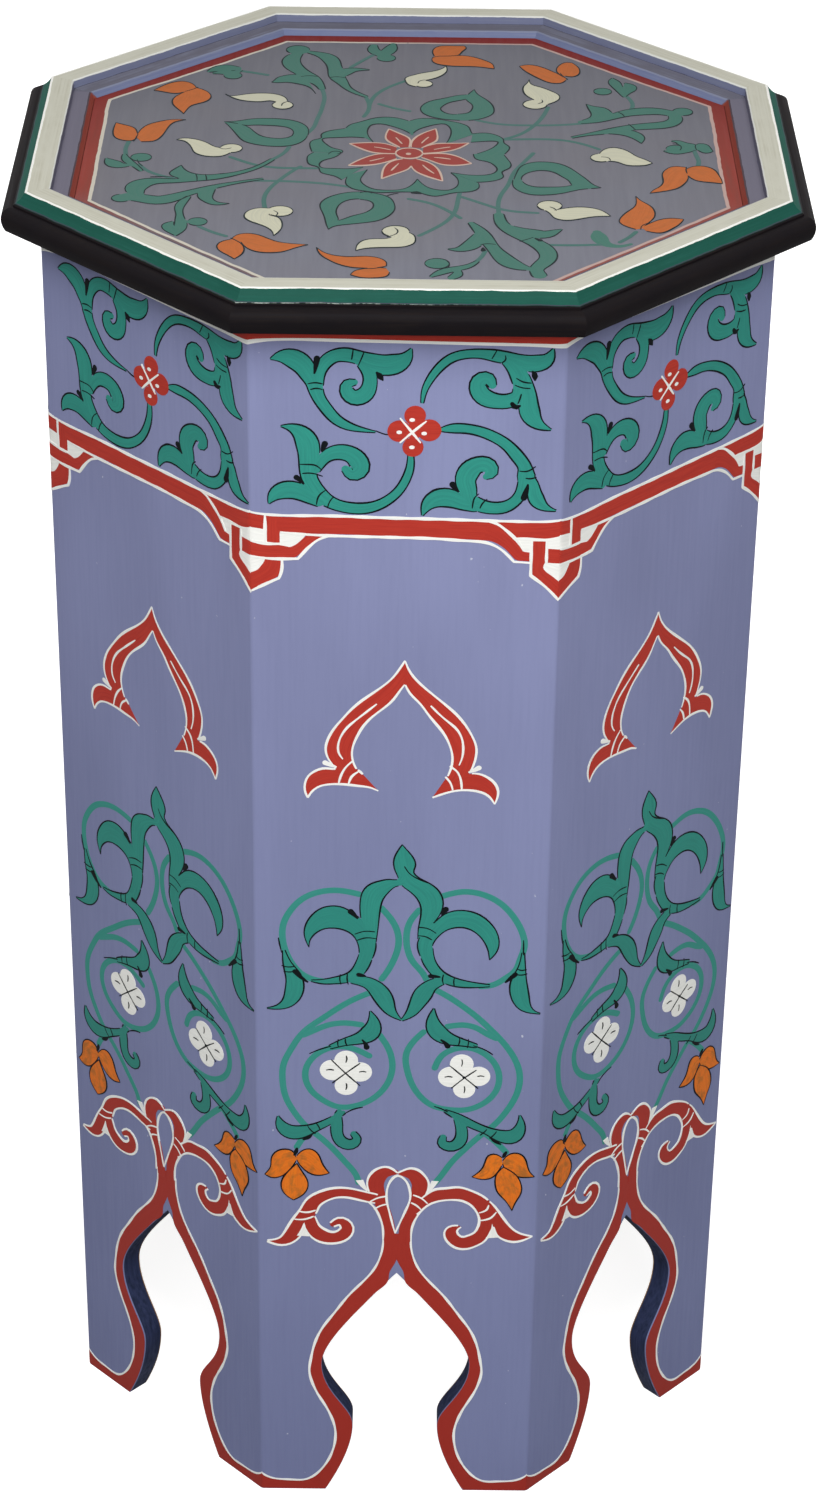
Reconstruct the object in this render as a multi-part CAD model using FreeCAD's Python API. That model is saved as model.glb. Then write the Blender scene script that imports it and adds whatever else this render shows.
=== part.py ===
"""Octagonal painted side table: eight mitred boards, arch-cut feet, a tray top.

The origin is the centre of the footprint on the floor, +Z is up, and the front
side faces -Y. Sizes are in millimetres. Every piece of the front side is drawn
once and turned round the centre line to the other sides.
"""
import FreeCAD, Part
import math
import os

# The whole table
side_count = 8
body_height = 692.0
body_across_flats = 345.0
board_thickness = 12.0

# The arch sawn out of each board's foot, measured from the floor and centre line
neck_half_width = 22.5
neck_height = 46.0
mouth_flare = 14.5
belly_bulge = 16.5
belly_rise = 42.0
apex_rise = 62.0

# How far each curve of the arch runs on along its end directions, as shares
mouth_lean_share = 0.52
mouth_handle_share = 0.30
neck_handle_shares = (0.36, 0.28, 0.48)
belly_handle_share = 0.21
apex_handle_share = 0.50
apex_lean_share = 0.80

# The tray board, whose thin tongue runs under the moulding
top_thickness = 10.0
tongue_thickness = 5.0
tongue_width = 9.8

# The moulding round the tray, from its outer nose to its inner riser
rim_height = 18.0
rim_overhang = 17.5
nose_tuck = 1.9
nose_depth = 5.9
nose_low_height = 6.5
nose_high_rise = 4.8
quirk_height = 1.0
slope_width = 5.5
cove_depth = 0.6
crown_width = 11.3
bead_drop = 4.4
ledge_width = 8.8
ledge_fall = 0.6
arris_radius = 1.0
riser_lean = 1.5

# Battens glued into the corners, and cleats glued to the boards under the tray board
batten_leg = 16.0
batten_depth = 10.0
batten_floor_gap = 20.0
cleat_width = 18.0
cleat_height = 18.0

# Round-head wood screws, one up through each cleat
screw_radius = 1.75
screw_head_radius = 3.5
screw_head_height = 2.0
screw_length = 25.0

# Clearances, and how far every cutting shape runs past what it cuts
panel_gap = 0.3
cleat_end_gap = 0.5
screw_clearance = 0.05
overrun = 5.0

# Worked out from the sizes above
FULL_TURN = 360.0
RIGHT_ANGLE = 90.0
HALF = 0.5
ORIGIN = FreeCAD.Vector(0, 0, 0)
UP = FreeCAD.Vector(0, 0, 1)
RIGHT = FreeCAD.Vector(1, 0, 0)
BACK = FreeCAD.Vector(0, 1, 0)

side_angle = FULL_TURN / side_count
mitre = math.tan(math.radians(side_angle * HALF))
body_apothem = body_across_flats * HALF
inner_apothem = body_apothem - board_thickness
mouth_half_width = neck_half_width + mouth_flare
belly_half_width = neck_half_width + belly_bulge
belly_height = neck_height + belly_rise
apex_height = belly_height + apex_rise

rim_apothem = body_apothem + rim_overhang
quirk_apothem = rim_apothem - nose_depth
crown_outer_apothem = quirk_apothem - slope_width
crown_inner_apothem = crown_outer_apothem - crown_width
arris_apothem = crown_inner_apothem - ledge_width
riser_apothem = arris_apothem - riser_lean
field_apothem = riser_apothem - panel_gap
tongue_apothem = field_apothem + tongue_width
rabbet_apothem = tongue_apothem + panel_gap

rim_top = body_height + rim_height
tray_floor = body_height + top_thickness
tongue_top = body_height + tongue_thickness
rabbet_top = tongue_top + panel_gap
nose_low = body_height + nose_low_height
nose_high = nose_low + nose_high_rise
quirk_top = nose_high + quirk_height
bead_bottom = rim_top - bead_drop
arris_top = bead_bottom - ledge_fall

batten_bottom = apex_height + batten_floor_gap
cleat_bottom = body_height - cleat_height
cleat_inner_apothem = inner_apothem - cleat_width
arris_sagitta = arris_radius * (1 - math.sqrt(HALF))


def turned(shape, side):
    """Return a front-side shape turned to the given side, counted from the front."""
    copy = shape.copy()
    copy.rotate(ORIGIN, UP, side_angle * side)
    return copy


def line(start, end):
    """Return a straight edge."""
    return Part.makeLine(start, end)


def curve(*poles):
    """Return a Bezier edge through its first and last pole."""
    bezier = Part.BezierCurve()
    bezier.setPoles(list(poles))
    return bezier.toShape()


def between(start, end, share):
    """Return the point that lies the given share of the way along a line."""
    return start + (end - start) * share


def arc(start, middle, end):
    """Return an arc of a circle through three points."""
    return Part.Arc(start, middle, end).toShape()


def bulge(start, end, height):
    """Return an arc whose middle stands off its chord, to the right of the way it goes."""
    chord = end - start
    aside = chord.cross(RIGHT).normalize()
    return arc(start, between(start, end, HALF) + aside * height, end)


def round_from(upright, end):
    """Return an arc that is upright where it starts, and runs in to its end."""
    run = end - upright
    radius = (run.y * run.y + run.z * run.z) * HALF / run.y
    centre = upright + BACK * radius
    half_way = between(upright, end, HALF) - centre
    return arc(upright, centre + half_way.normalize() * radius, end)


def prism(plan, low, high):
    """Return an upright solid on a closed plan of (x, y) corners."""
    corners = [FreeCAD.Vector(x, y, low) for x, y in plan]
    corners.append(corners[0])
    return Part.Face(Part.makePolygon(corners)).extrude(UP * (high - low))


def octagon(apothem, low, high):
    """Return an upright prism with one corner where each two sides meet."""
    radius = apothem / math.cos(math.radians(side_angle * HALF))
    plan = []
    for corner in range(side_count):
        angle = math.radians(side_angle * (corner + HALF) - RIGHT_ANGLE)
        plan.append((radius * math.cos(angle), radius * math.sin(angle)))
    return prism(plan, low, high)


def mitred_plank(inner, outer, low, high):
    """Return a front-side plank whose two ends lie on the mitre planes."""
    plan = [(-outer * mitre, -outer), (outer * mitre, -outer),
            (inner * mitre, -inner), (-inner * mitre, -inner)]
    return prism(plan, low, high)


def arch_half(side):
    """Return the arch's three curves from mouth to apex, on side 1 or -1."""
    def at(x, z):
        return FreeCAD.Vector(side * x, -body_apothem - overrun, z)

    mouth_step = mouth_handle_share * neck_height
    low_step, rise_step, round_step = (share * belly_rise for share in neck_handle_shares)
    shoulder_step = belly_handle_share * apex_rise
    apex_step = apex_handle_share * apex_rise
    mouth = at(mouth_half_width, 0)
    neck = at(neck_half_width, neck_height)
    belly = at(belly_half_width, belly_height)
    apex = at(0, apex_height)
    flare = curve(mouth, at(mouth_half_width - mouth_lean_share * mouth_step, mouth_step),
                  at(neck_half_width, neck_height - low_step), neck)
    swell = curve(neck, at(neck_half_width, neck_height + rise_step),
                  at(belly_half_width, belly_height - round_step), belly)
    point = curve(belly, at(belly_half_width, belly_height + shoulder_step),
                  at(apex_lean_share * apex_step, apex_height - apex_step), apex)
    return [flare, swell, point]


def arch_cutter():
    """Return the solid that saws the pointed arch out of a front board's foot."""
    right = arch_half(1)
    left = arch_half(-1)
    right_mouth = right[0].Vertexes[0].Point
    left_mouth = left[0].Vertexes[0].Point
    drop = UP * overrun
    threshold = [line(left_mouth, left_mouth - drop),
                 line(left_mouth - drop, right_mouth - drop),
                 line(right_mouth - drop, right_mouth)]
    outline = Part.Wire(Part.__sortEdges__(threshold + right + left))
    through = board_thickness + overrun + overrun
    return Part.Face(outline).extrude(BACK * through)


def screw_place():
    """Return where the front screw's head meets the underside of its cleat."""
    middle = -(inner_apothem + cleat_inner_apothem) * HALF
    return FreeCAD.Vector(0, middle, cleat_bottom)


def top_screw():
    """Return the front round-head screw, up through its cleat into the tray board."""
    shank = Part.makeCylinder(screw_radius, screw_length, screw_place())
    under = screw_place() - UP * screw_head_height
    return shank.fuse(Part.makeCylinder(screw_head_radius, screw_head_height, under))


def screw_hole():
    """Return the front screw's hole, which runs on past the screw's end by its clearance."""
    start = screw_place() - UP * overrun
    depth = overrun + screw_length + screw_clearance
    return Part.makeCylinder(screw_radius + screw_clearance, depth, start)


def side_board():
    """Return the front board, with mitred edges and an arch-cut foot."""
    return mitred_plank(inner_apothem, body_apothem, 0, body_height).cut(arch_cutter())


def rim_moulding():
    """Return the front length of moulding, mitred at both ends.

    Its section has a round nose, a quirk, a coved slope, a flat crown, a small
    step, a falling ledge with a rounded arris, a leaning riser, and a rabbet
    over the tray board's tongue.
    """
    reach = rim_apothem * mitre + overrun

    def at(apothem, z):
        return FreeCAD.Vector(-reach, -apothem, z)

    heel = at(rabbet_apothem, body_height)
    tuck = at(rim_apothem - nose_tuck, body_height)
    widest = at(rim_apothem, nose_low)
    nose_end = at(quirk_apothem, nose_high)
    slope_foot = at(quirk_apothem, quirk_top)
    crown_outer = at(crown_outer_apothem, rim_top)
    crown_inner = at(crown_inner_apothem, rim_top)
    step_foot = at(crown_inner_apothem, bead_bottom)
    ledge_end = at(arris_apothem + arris_radius, arris_top)
    riser_head = at(arris_apothem, arris_top - arris_radius)
    riser_foot = at(riser_apothem, tray_floor)
    rabbet_inner = at(riser_apothem, rabbet_top)
    rabbet_outer = at(rabbet_apothem, rabbet_top)

    section = [line(heel, tuck),
               round_from(widest, tuck),
               round_from(widest, nose_end),
               line(nose_end, slope_foot),
               bulge(slope_foot, crown_outer, cove_depth),
               line(crown_outer, crown_inner),
               line(crown_inner, step_foot),
               line(step_foot, ledge_end),
               bulge(riser_head, ledge_end, arris_sagitta),
               line(riser_head, riser_foot),
               line(riser_foot, rabbet_inner),
               line(rabbet_inner, rabbet_outer),
               line(rabbet_outer, heel)]
    length = Part.Face(Part.Wire(section)).extrude(RIGHT * (reach + reach))
    far = rim_apothem + overrun
    sector = prism([(0, 0), (-far * mitre, -far), (far * mitre, -far)],
                   body_height - overrun, rim_top + overrun)
    return length.common(sector)


def tray_board():
    """Return the octagonal tray board with its tongue and one pilot hole a side."""
    field = octagon(field_apothem, body_height, tray_floor)
    tongue = octagon(tongue_apothem, body_height, tongue_top)
    board = field.fuse(tongue).removeSplitter()
    return board.cut([turned(screw_hole(), side) for side in range(side_count)])


def corner_batten():
    """Return the batten in the front side's right corner, shaped to both boards."""
    corner = inner_apothem * mitre
    face = -inner_apothem
    front_leg = [(corner - batten_leg, face + batten_depth), (corner - batten_leg, face)]
    turn = math.radians(side_angle)
    next_leg = []
    for x, y in [(-corner + batten_leg, face), (-corner + batten_leg, face + batten_depth)]:
        next_leg.append((x * math.cos(turn) - y * math.sin(turn),
                         x * math.sin(turn) + y * math.cos(turn)))
    plan = front_leg + [(corner, face)] + next_leg
    return prism(plan, batten_bottom, body_height)


def top_cleat():
    """Return the front cleat, which fits between two battens under the tray board."""
    half_length = inner_apothem * mitre - batten_leg - cleat_end_gap
    plan = [(-half_length, -inner_apothem), (half_length, -inner_apothem),
            (half_length, -cleat_inner_apothem), (-half_length, -cleat_inner_apothem)]
    return prism(plan, cleat_bottom, body_height).cut(screw_hole())


def save(name, shape):
    """Write one piece, or one group of like pieces, to its own file."""
    shape.exportStep(os.path.join("parts", name + ".step"))
    print(name, "solids", len(shape.Solids), "valid", shape.isValid(),
          "volume", round(shape.Volume))


def main():
    """Build every piece and write it out."""
    os.makedirs("parts", exist_ok=True)
    repeated = {"side_board": side_board(), "rim_moulding": rim_moulding(),
                "corner_batten": corner_batten(), "top_cleat": top_cleat()}
    for name, piece in repeated.items():
        for side in range(side_count):
            save(name + "_" + str(side + 1), turned(piece, side))
    save("tray_board", tray_board())
    screws = [turned(top_screw(), side) for side in range(side_count)]
    save("top_screws", Part.makeCompound(screws))


main()
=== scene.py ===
"""Octagonal painted side table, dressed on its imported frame.

The boards, the moulding and every stroke of the painted ornament are surfaces worked out from
curves and sections. Sizes are in millimetres until a mesh is written, when they become metres.
"""

import logging
import math
from dataclasses import dataclass, field
from enum import Enum

import bmesh
import bpy
import numpy as np
from mathutils import Matrix, Vector


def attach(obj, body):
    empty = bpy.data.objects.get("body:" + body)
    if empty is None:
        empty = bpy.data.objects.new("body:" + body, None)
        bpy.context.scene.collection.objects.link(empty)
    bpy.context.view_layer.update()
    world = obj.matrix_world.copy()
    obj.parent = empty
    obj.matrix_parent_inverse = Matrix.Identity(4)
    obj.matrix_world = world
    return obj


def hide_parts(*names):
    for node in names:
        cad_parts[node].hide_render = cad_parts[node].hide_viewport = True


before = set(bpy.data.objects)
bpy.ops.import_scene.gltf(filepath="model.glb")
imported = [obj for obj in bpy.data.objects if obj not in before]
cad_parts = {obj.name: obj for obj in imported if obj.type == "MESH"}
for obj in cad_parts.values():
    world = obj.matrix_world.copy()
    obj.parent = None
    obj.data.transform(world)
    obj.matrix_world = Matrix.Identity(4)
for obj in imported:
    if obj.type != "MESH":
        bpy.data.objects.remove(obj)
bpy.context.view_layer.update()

log = logging.getLogger("table")

MM = 0.001
SIDES = 8
SIDE_ANGLE = 2 * math.pi / SIDES
# A side's corner lies this far from its middle for each millimetre of its distance from the axis.
MITRE = math.tan(SIDE_ANGLE / 2)
# The red band's right end lies this many millimetres lower than its left one on the front board.
END_DROP = 2.7
BODY = "root"
SEED = 28
PURE_WHITE = (1.0, 1.0, 1.0, 1.0)
Points = np.ndarray
Socket = bpy.types.NodeSocket


def srgb(red: int, green: int, blue: int) -> tuple:
    """Work out a colour's linear values.

    Each channel c in 0 to 1 becomes ((c + 0.055) / 1.055) to the power 2.4, or c / 12.92 when dark.

    Args:
        red, green, blue: the colour in display steps, 0 to 255.

    Returns:
        Linear red, green and blue, and an alpha of one.
    """
    share = np.array([red, green, blue]) / 255
    linear = np.where(share > 0.04045, ((share + 0.055) / 1.055) ** 2.4, share / 12.92)
    return tuple(linear) + (1.0,)


def smooth(knots: Points, step: float) -> Points:
    """Run a natural cubic spline through the knots.

    The spline runs over the chord length added up from knot to knot. Its second derivatives m solve
    h0 m0 + 2 (h0 + h1) m1 + h1 m2 = 6 (slope1 - slope0) at each inner knot, and are zero at the ends.
    A knot given twice in a row is a sharp corner, where one spline ends and the next one starts.

    Args:
        knots: one row per knot; the first two columns are the place, and the others follow it.
        step: about how far apart the returned rows lie.

    Returns:
        The rows, from the first knot to the last.
    """
    knots = np.asarray(knots, float)
    chord = np.linalg.norm(np.diff(knots[:, :2], axis=0), axis=1)
    if not chord.all():
        first, *others = np.split(knots, np.flatnonzero(chord == 0) + 1)
        return np.vstack([smooth(first, step)] + [smooth(part, step)[1:] for part in others])
    at = np.concatenate([[0.0], np.cumsum(chord)])
    count = len(knots)
    system = np.eye(count)
    pull = np.zeros_like(knots)
    inner = np.arange(1, count - 1)
    system[inner, inner - 1] = chord[:-1]
    system[inner, inner] = 2 * (chord[:-1] + chord[1:])
    system[inner, inner + 1] = chord[1:]
    slope = np.diff(knots, axis=0) / chord[:, None]
    pull[1:-1] = 6 * np.diff(slope, axis=0)
    bend = np.linalg.solve(system, pull)
    where = np.linspace(0, at[-1], max(4, int(math.ceil(at[-1] / step)) + 1))
    span = np.clip(np.searchsorted(at, where, side="right") - 1, 0, count - 2)
    length = chord[span][:, None]
    after = ((where - at[span]) / chord[span])[:, None]
    before = 1 - after
    return (before * knots[span] + after * knots[span + 1]
            + (before ** 3 - before) * bend[span] * length ** 2 / 6
            + (after ** 3 - after) * bend[span + 1] * length ** 2 / 6)


def sideways(path: Points) -> Points:
    """Find the way to the left of a path of (u, v) points.

    Returns:
        A unit vector at each point: the direction (a, b) ahead turned to (-b, a).
    """
    ahead = np.gradient(path, axis=0)
    ahead /= np.maximum(np.linalg.norm(ahead, axis=1), 1e-9)[:, None]
    return np.stack([-ahead[:, 1], ahead[:, 0]], axis=1)


def inside(points: Points, outline: Points) -> Points:
    """Tell which points lie in a closed outline, by counting the edges that a ray to +u crosses.

    Args:
        points: rows of (u, v).
        outline: its (u, v) corners in order.

    Returns:
        True for each point that lies inside.
    """
    ends = np.roll(outline, -1, axis=0)
    u, v = points[:, :1], points[:, 1:2]
    spans = (outline[:, 1] > v) != (ends[:, 1] > v)
    rise = ends[:, 1] - outline[:, 1]
    rise = np.where(np.abs(rise) < 1e-9, 1e-9, rise)
    cross = outline[:, 0] + (v - outline[:, 1]) / rise * (ends[:, 0] - outline[:, 0])
    return (spans & (u < cross)).sum(axis=1) % 2 == 1


def numbered(rows: int, ring: int, start: int = 0) -> Points:
    """Return the corner numbers of so many closed rings of corners, one row for each ring."""
    return start + np.arange(rows * ring).reshape(rows, ring)


def between(index: Points, turned: bool = False) -> Points:
    """Join numbered rings of corners by four-cornered faces.

    Args:
        index: the corner numbers, one row for each closed ring.
        turned: whether the faces look the other way.

    Returns:
        The four corner numbers of each face, in a grid of one row fewer than the rings.
    """
    after = np.roll(index, -1, axis=1)
    corners = [index[:-1], after[:-1], after[1:], index[1:]]
    return np.stack(corners[:1] + corners[:0:-1] if turned else corners, axis=2)


def new_piece(name: str, points: Points, faces: list, material: bpy.types.Material,
              brush: Points | None = None, sharp: float | None = None) -> bpy.types.Object:
    """Make one closed mesh piece of the table and let it ride on the body.

    Args:
        name: the piece's name.
        points: the corners, in metres.
        faces: the corner numbers of each face.
        material: its finish.
        brush: how far along and across its stroke each corner lies, and a number drawn for the
            stroke, for finishes that follow the brush.
        sharp: the angle in degrees past which an edge stays sharp; None shades all of it smooth.

    Returns:
        The new object.
    """
    mesh = bpy.data.meshes.new(name)
    mesh.from_pydata(points, [], faces)
    if brush is not None:
        mesh.attributes.new("brush", "FLOAT_VECTOR", "POINT").data.foreach_set(
            "vector", np.asarray(brush, np.float32).ravel())
    mesh.polygons.foreach_set("use_smooth", np.ones(len(mesh.polygons), bool))
    if sharp is not None:
        mesh.set_sharp_from_angle(angle=math.radians(sharp))
    mesh.materials.append(material)
    mesh.update()
    piece = bpy.data.objects.new(name, mesh)
    bpy.context.scene.collection.objects.link(piece)
    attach(piece, BODY)
    log.info("%s: %d faces", name, len(faces))
    return piece


def face_outwards(mesh: bpy.types.Mesh, merge: float | None = None) -> None:
    """Point every face of a closed mesh outwards.

    Args:
        mesh: the mesh, changed in place.
        merge: first join corners that lie within this many metres of each other.
    """
    work = bmesh.new()
    work.from_mesh(mesh)
    if merge is not None:
        bmesh.ops.remove_doubles(work, verts=work.verts, dist=merge)
        bmesh.ops.dissolve_degenerate(work, edges=work.edges, dist=merge)
    bmesh.ops.recalc_face_normals(work, faces=work.faces)
    work.to_mesh(mesh)
    work.free()


@dataclass(frozen=True)
class Plane:
    """A flat painted surface: where its (u, v) millimetres lie in the table's frame."""

    origin: tuple
    right: tuple
    up: tuple

    def place(self, points: Points) -> Points:
        """Place points on the surface.

        Args:
            points: rows of (u, v, height).

        Returns:
            Their places in metres: origin + right u + up v + out height.
        """
        right, up = np.array(self.right), np.array(self.up)
        axes = np.stack([right, up, np.cross(right, up)])
        return (np.array(self.origin) + points @ axes) * MM


def board_face(side: int, apothem: float) -> Plane:
    """Find the outer face of a side's board.

    Args:
        side: its number, counted from 1 at the front.
        apothem: how far the face lies from the table's axis.

    Returns:
        The face, with u to the right of its middle and v up from the floor.
    """
    turn = SIDE_ANGLE * (side - 1)
    right = (math.cos(turn), math.sin(turn), 0.0)
    out = (math.sin(turn), -math.cos(turn), 0.0)
    return Plane(tuple(apothem * value for value in out), right, (0.0, 0.0, 1.0))


class Nodes:
    """A node tree being put together, with short calls that add to it."""

    def __init__(self, tree: bpy.types.NodeTree) -> None:
        """Start on a tree."""
        self.tree = tree

    def add(self, kind: str, feeds: dict, **settings: object) -> bpy.types.Node:
        """Add a node.

        Args:
            kind: the node's type after ShaderNode.
            feeds: for each input, by name or number, a socket to link or a value to set.
            **settings: the node's own settings.

        Returns:
            The node.
        """
        node = self.tree.nodes.new("ShaderNode" + kind)
        for name, value in settings.items():
            setattr(node, name, value)
        for name, value in feeds.items():
            if isinstance(value, Socket):
                self.tree.links.new(value, node.inputs[name])
            else:
                node.inputs[name].default_value = value
        return node

    def sum(self, kind: str, *values: float | Socket) -> Socket:
        """Return a Math node's value of one to three numbers or sockets."""
        return self.add("Math", dict(enumerate(values)), operation=kind).outputs[0]

    def share(self, value: Socket, low: float, high: float) -> Socket:
        """Return how far a value has come from low to high, kept between 0 and 1."""
        return self.add("MapRange", {0: value, 1: low, 2: high}).outputs[0]


class Recipe(Nodes):
    """A finish being mixed: the nodes on one material's shader."""

    def __init__(self, name: str, roughness: float, gloss: float = 0.2,
                 metallic: float = 0.0) -> None:
        """Start a finish.

        Args:
            name: the material's name.
            roughness, gloss, metallic: the shader's numbers, the same all over it.
        """
        self.material = bpy.data.materials.new(name)
        self.material.use_nodes = True
        super().__init__(self.material.node_tree)
        self.shader = self.tree.nodes["Principled BSDF"]
        self.shader.inputs["Roughness"].default_value = roughness
        self.shader.inputs["Metallic"].default_value = metallic
        self.shader.inputs["Specular IOR Level"].default_value = gloss

    def where(self, along_brush: bool = False) -> Socket:
        """Find the place that a pattern follows, in metres.

        Args:
            along_brush: count along, across and from stroke to stroke, in place of x, y and z.

        Returns:
            The place.
        """
        if along_brush:
            return self.add("Attribute", {}, attribute_name="brush").outputs["Vector"]
        return self.add("TexCoord", {}).outputs["Object"]

    def parts(self, along_brush: bool = False) -> tuple:
        """Return the three parts of the place."""
        return tuple(self.add("SeparateXYZ", {0: self.where(along_brush)}).outputs)

    def away(self, x: Socket, y: Socket, ease: float = 1.0) -> Socket:
        """Find how far out of the table's axis a place lies, as its eight sides count it.

        Args:
            x, y: the place.
            ease: what the slanting sides' distance is multiplied by.

        Returns:
            The larger of |x|, |y| and ease (|x| + |y|) / root 2, in metres.
        """
        x, y = self.sum("ABSOLUTE", x), self.sum("ABSOLUTE", y)
        skew = self.sum("MULTIPLY", self.sum("ADD", x, y), math.sqrt(0.5) * ease)
        return self.sum("MAXIMUM", self.sum("MAXIMUM", x, y), skew)

    def noise(self, squeeze: tuple, detail: float = 3.0, roughness: float = 0.55,
              along_brush: bool = False) -> Socket:
        """Make a soft noise about 0.5.

        Args:
            squeeze: how many times it is squeezed on each axis, from one blot to a metre.
            detail: how many finer noises lie on it.
            roughness: how strong those are.
            along_brush: follow the brush stroke.

        Returns:
            The noise.
        """
        place = self.add("Mapping", {"Vector": self.where(along_brush), "Scale": squeeze})
        return self.add("TexNoise", {"Vector": place.outputs["Vector"], "Scale": 1.0, "Detail": detail,
                                     "Roughness": roughness}).outputs[0]

    def steps(self, share: Socket, stops: list) -> Socket:
        """Return a colour that changes at once at each stop, (share, colour), on the way up."""
        node = self.add("ValToRGB", {0: share})
        node.color_ramp.interpolation = "CONSTANT"
        while len(node.color_ramp.elements) < len(stops):
            node.color_ramp.elements.new(1.0)
        for element, (at, colour) in zip(node.color_ramp.elements, stops):
            element.position, element.color = at, colour
        return node.outputs[0]

    def mix(self, share: float | Socket, under: tuple | Socket, over: tuple | Socket) -> Socket:
        """Return the colour under, with the colour over laid on it by a share."""
        return self.add("Mix", {0: share, 6: under, 7: over}, data_type="RGBA").outputs[2]

    def lay(self, under: tuple | Socket, paint: tuple, *shares: float | Socket) -> Socket:
        """Lay a paint on a colour.

        Args:
            under: the colour.
            paint: the paint, in display steps.
            *shares: one or two shares, whose product says how much of it shows.

        Returns:
            The new colour.
        """
        share = self.sum("MULTIPLY", *shares) if len(shares) > 1 else shares[0]
        return self.mix(share, under, srgb(*paint))

    def finish(self, colour: Socket, height: Socket | None = None, depth: float = 0.1,
               roughness: Socket | None = None) -> bpy.types.Material:
        """Link what was mixed to the shader.

        Args:
            colour: the colour.
            height: a share whose bump shows in the light.
            depth: how many millimetres high the bump is.
            roughness: the roughness, where it isn't the same all over.

        Returns:
            The material.
        """
        self.tree.links.new(colour, self.shader.inputs["Base Color"])
        if height is not None:
            bump = self.add("Bump", {"Height": height, "Distance": depth * MM, "Strength": 1.0})
            self.tree.links.new(bump.outputs[0], self.shader.inputs["Normal"])
        if roughness is not None:
            self.tree.links.new(roughness, self.shader.inputs["Roughness"])
        return self.material


@dataclass(frozen=True)
class BoardPaint:
    """The violet milk paint of the boards, brushed up and down, over bare wood on the inside.

    A pair of heights or distances, in metres, says where one look gives way to the next. A pair of
    noise values says from where to where something shows, and its "most" how strong it gets.
    """

    name: str = "violet_board_paint"
    # Painted shade: the face darkens from upper to lower towards the floor, over the pair of heights given
    # below.
    upper: tuple = (135, 140, 178)
    lower: tuple = (119, 126, 164)
    painted_shade_fade_z: tuple = (0.02, 0.60)
    streak: tuple = (84, 86, 124)
    streak_between: tuple = (0.42, 0.9)
    streak_most: float = 0.10
    stain: tuple = (0.0, 0.0, 0.02, 1.0)
    stain_between: tuple = (0.62, 0.38)
    stain_most: float = 0.10
    speck: tuple = (205, 208, 218)
    speck_between: tuple = (0.81, 0.84)
    speck_most: float = 0.7
    jamb: tuple = (46, 54, 86)
    jamb_dark: tuple = (0.004, 0.008, 0.02, 1.0)
    jamb_between: tuple = (0.3, 0.9)
    wood: tuple = (170, 134, 92)
    grain: tuple = (128, 94, 58)
    grain_between: tuple = (0.35, 0.68)
    face_from: tuple = (0.17165, 0.1718)
    jamb_from: tuple = (0.1608, 0.1612)

    def mix(self) -> bpy.types.Material:
        """Mix it.

        The distance from the table's axis tells the painted face, the painted edge of the arch and
        the bare inside apart.

        Returns:
            The material.
        """
        new = Recipe(self.name, 0.62, gloss=0.16)
        x, y, z = new.parts()
        away = new.away(x, y)
        brushed = new.noise((520, 520, 26), 4.0, 0.6)
        cloud = new.noise((14, 14, 5), 2.0)
        fleck = new.noise((420, 420, 300), 1.0, 0.4)
        rings = new.noise((90, 90, 3), 4.0)
        # Painted shade: the face is darker towards the floor.
        face = new.lay(srgb(*self.lower), self.upper, new.share(z, *self.painted_shade_fade_z))
        face = new.lay(face, self.streak, new.share(brushed, *self.streak_between), self.streak_most)
        face = new.mix(new.share(cloud, *self.stain_between), face,
                       new.mix(self.stain_most, face, self.stain))
        face = new.lay(face, self.speck, new.share(fleck, *self.speck_between), self.speck_most)
        bare = new.lay(srgb(*self.wood), self.grain, new.share(rings, *self.grain_between))
        jamb = new.mix(new.share(brushed, *self.jamb_between), srgb(*self.jamb), self.jamb_dark)
        painted = new.mix(new.share(away, *self.face_from), jamb, face)
        whole = new.mix(new.share(away, *self.jamb_from), bare, painted)
        return new.finish(whole, brushed, 0.07, new.share(brushed, -0.6, 1.1))


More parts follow.
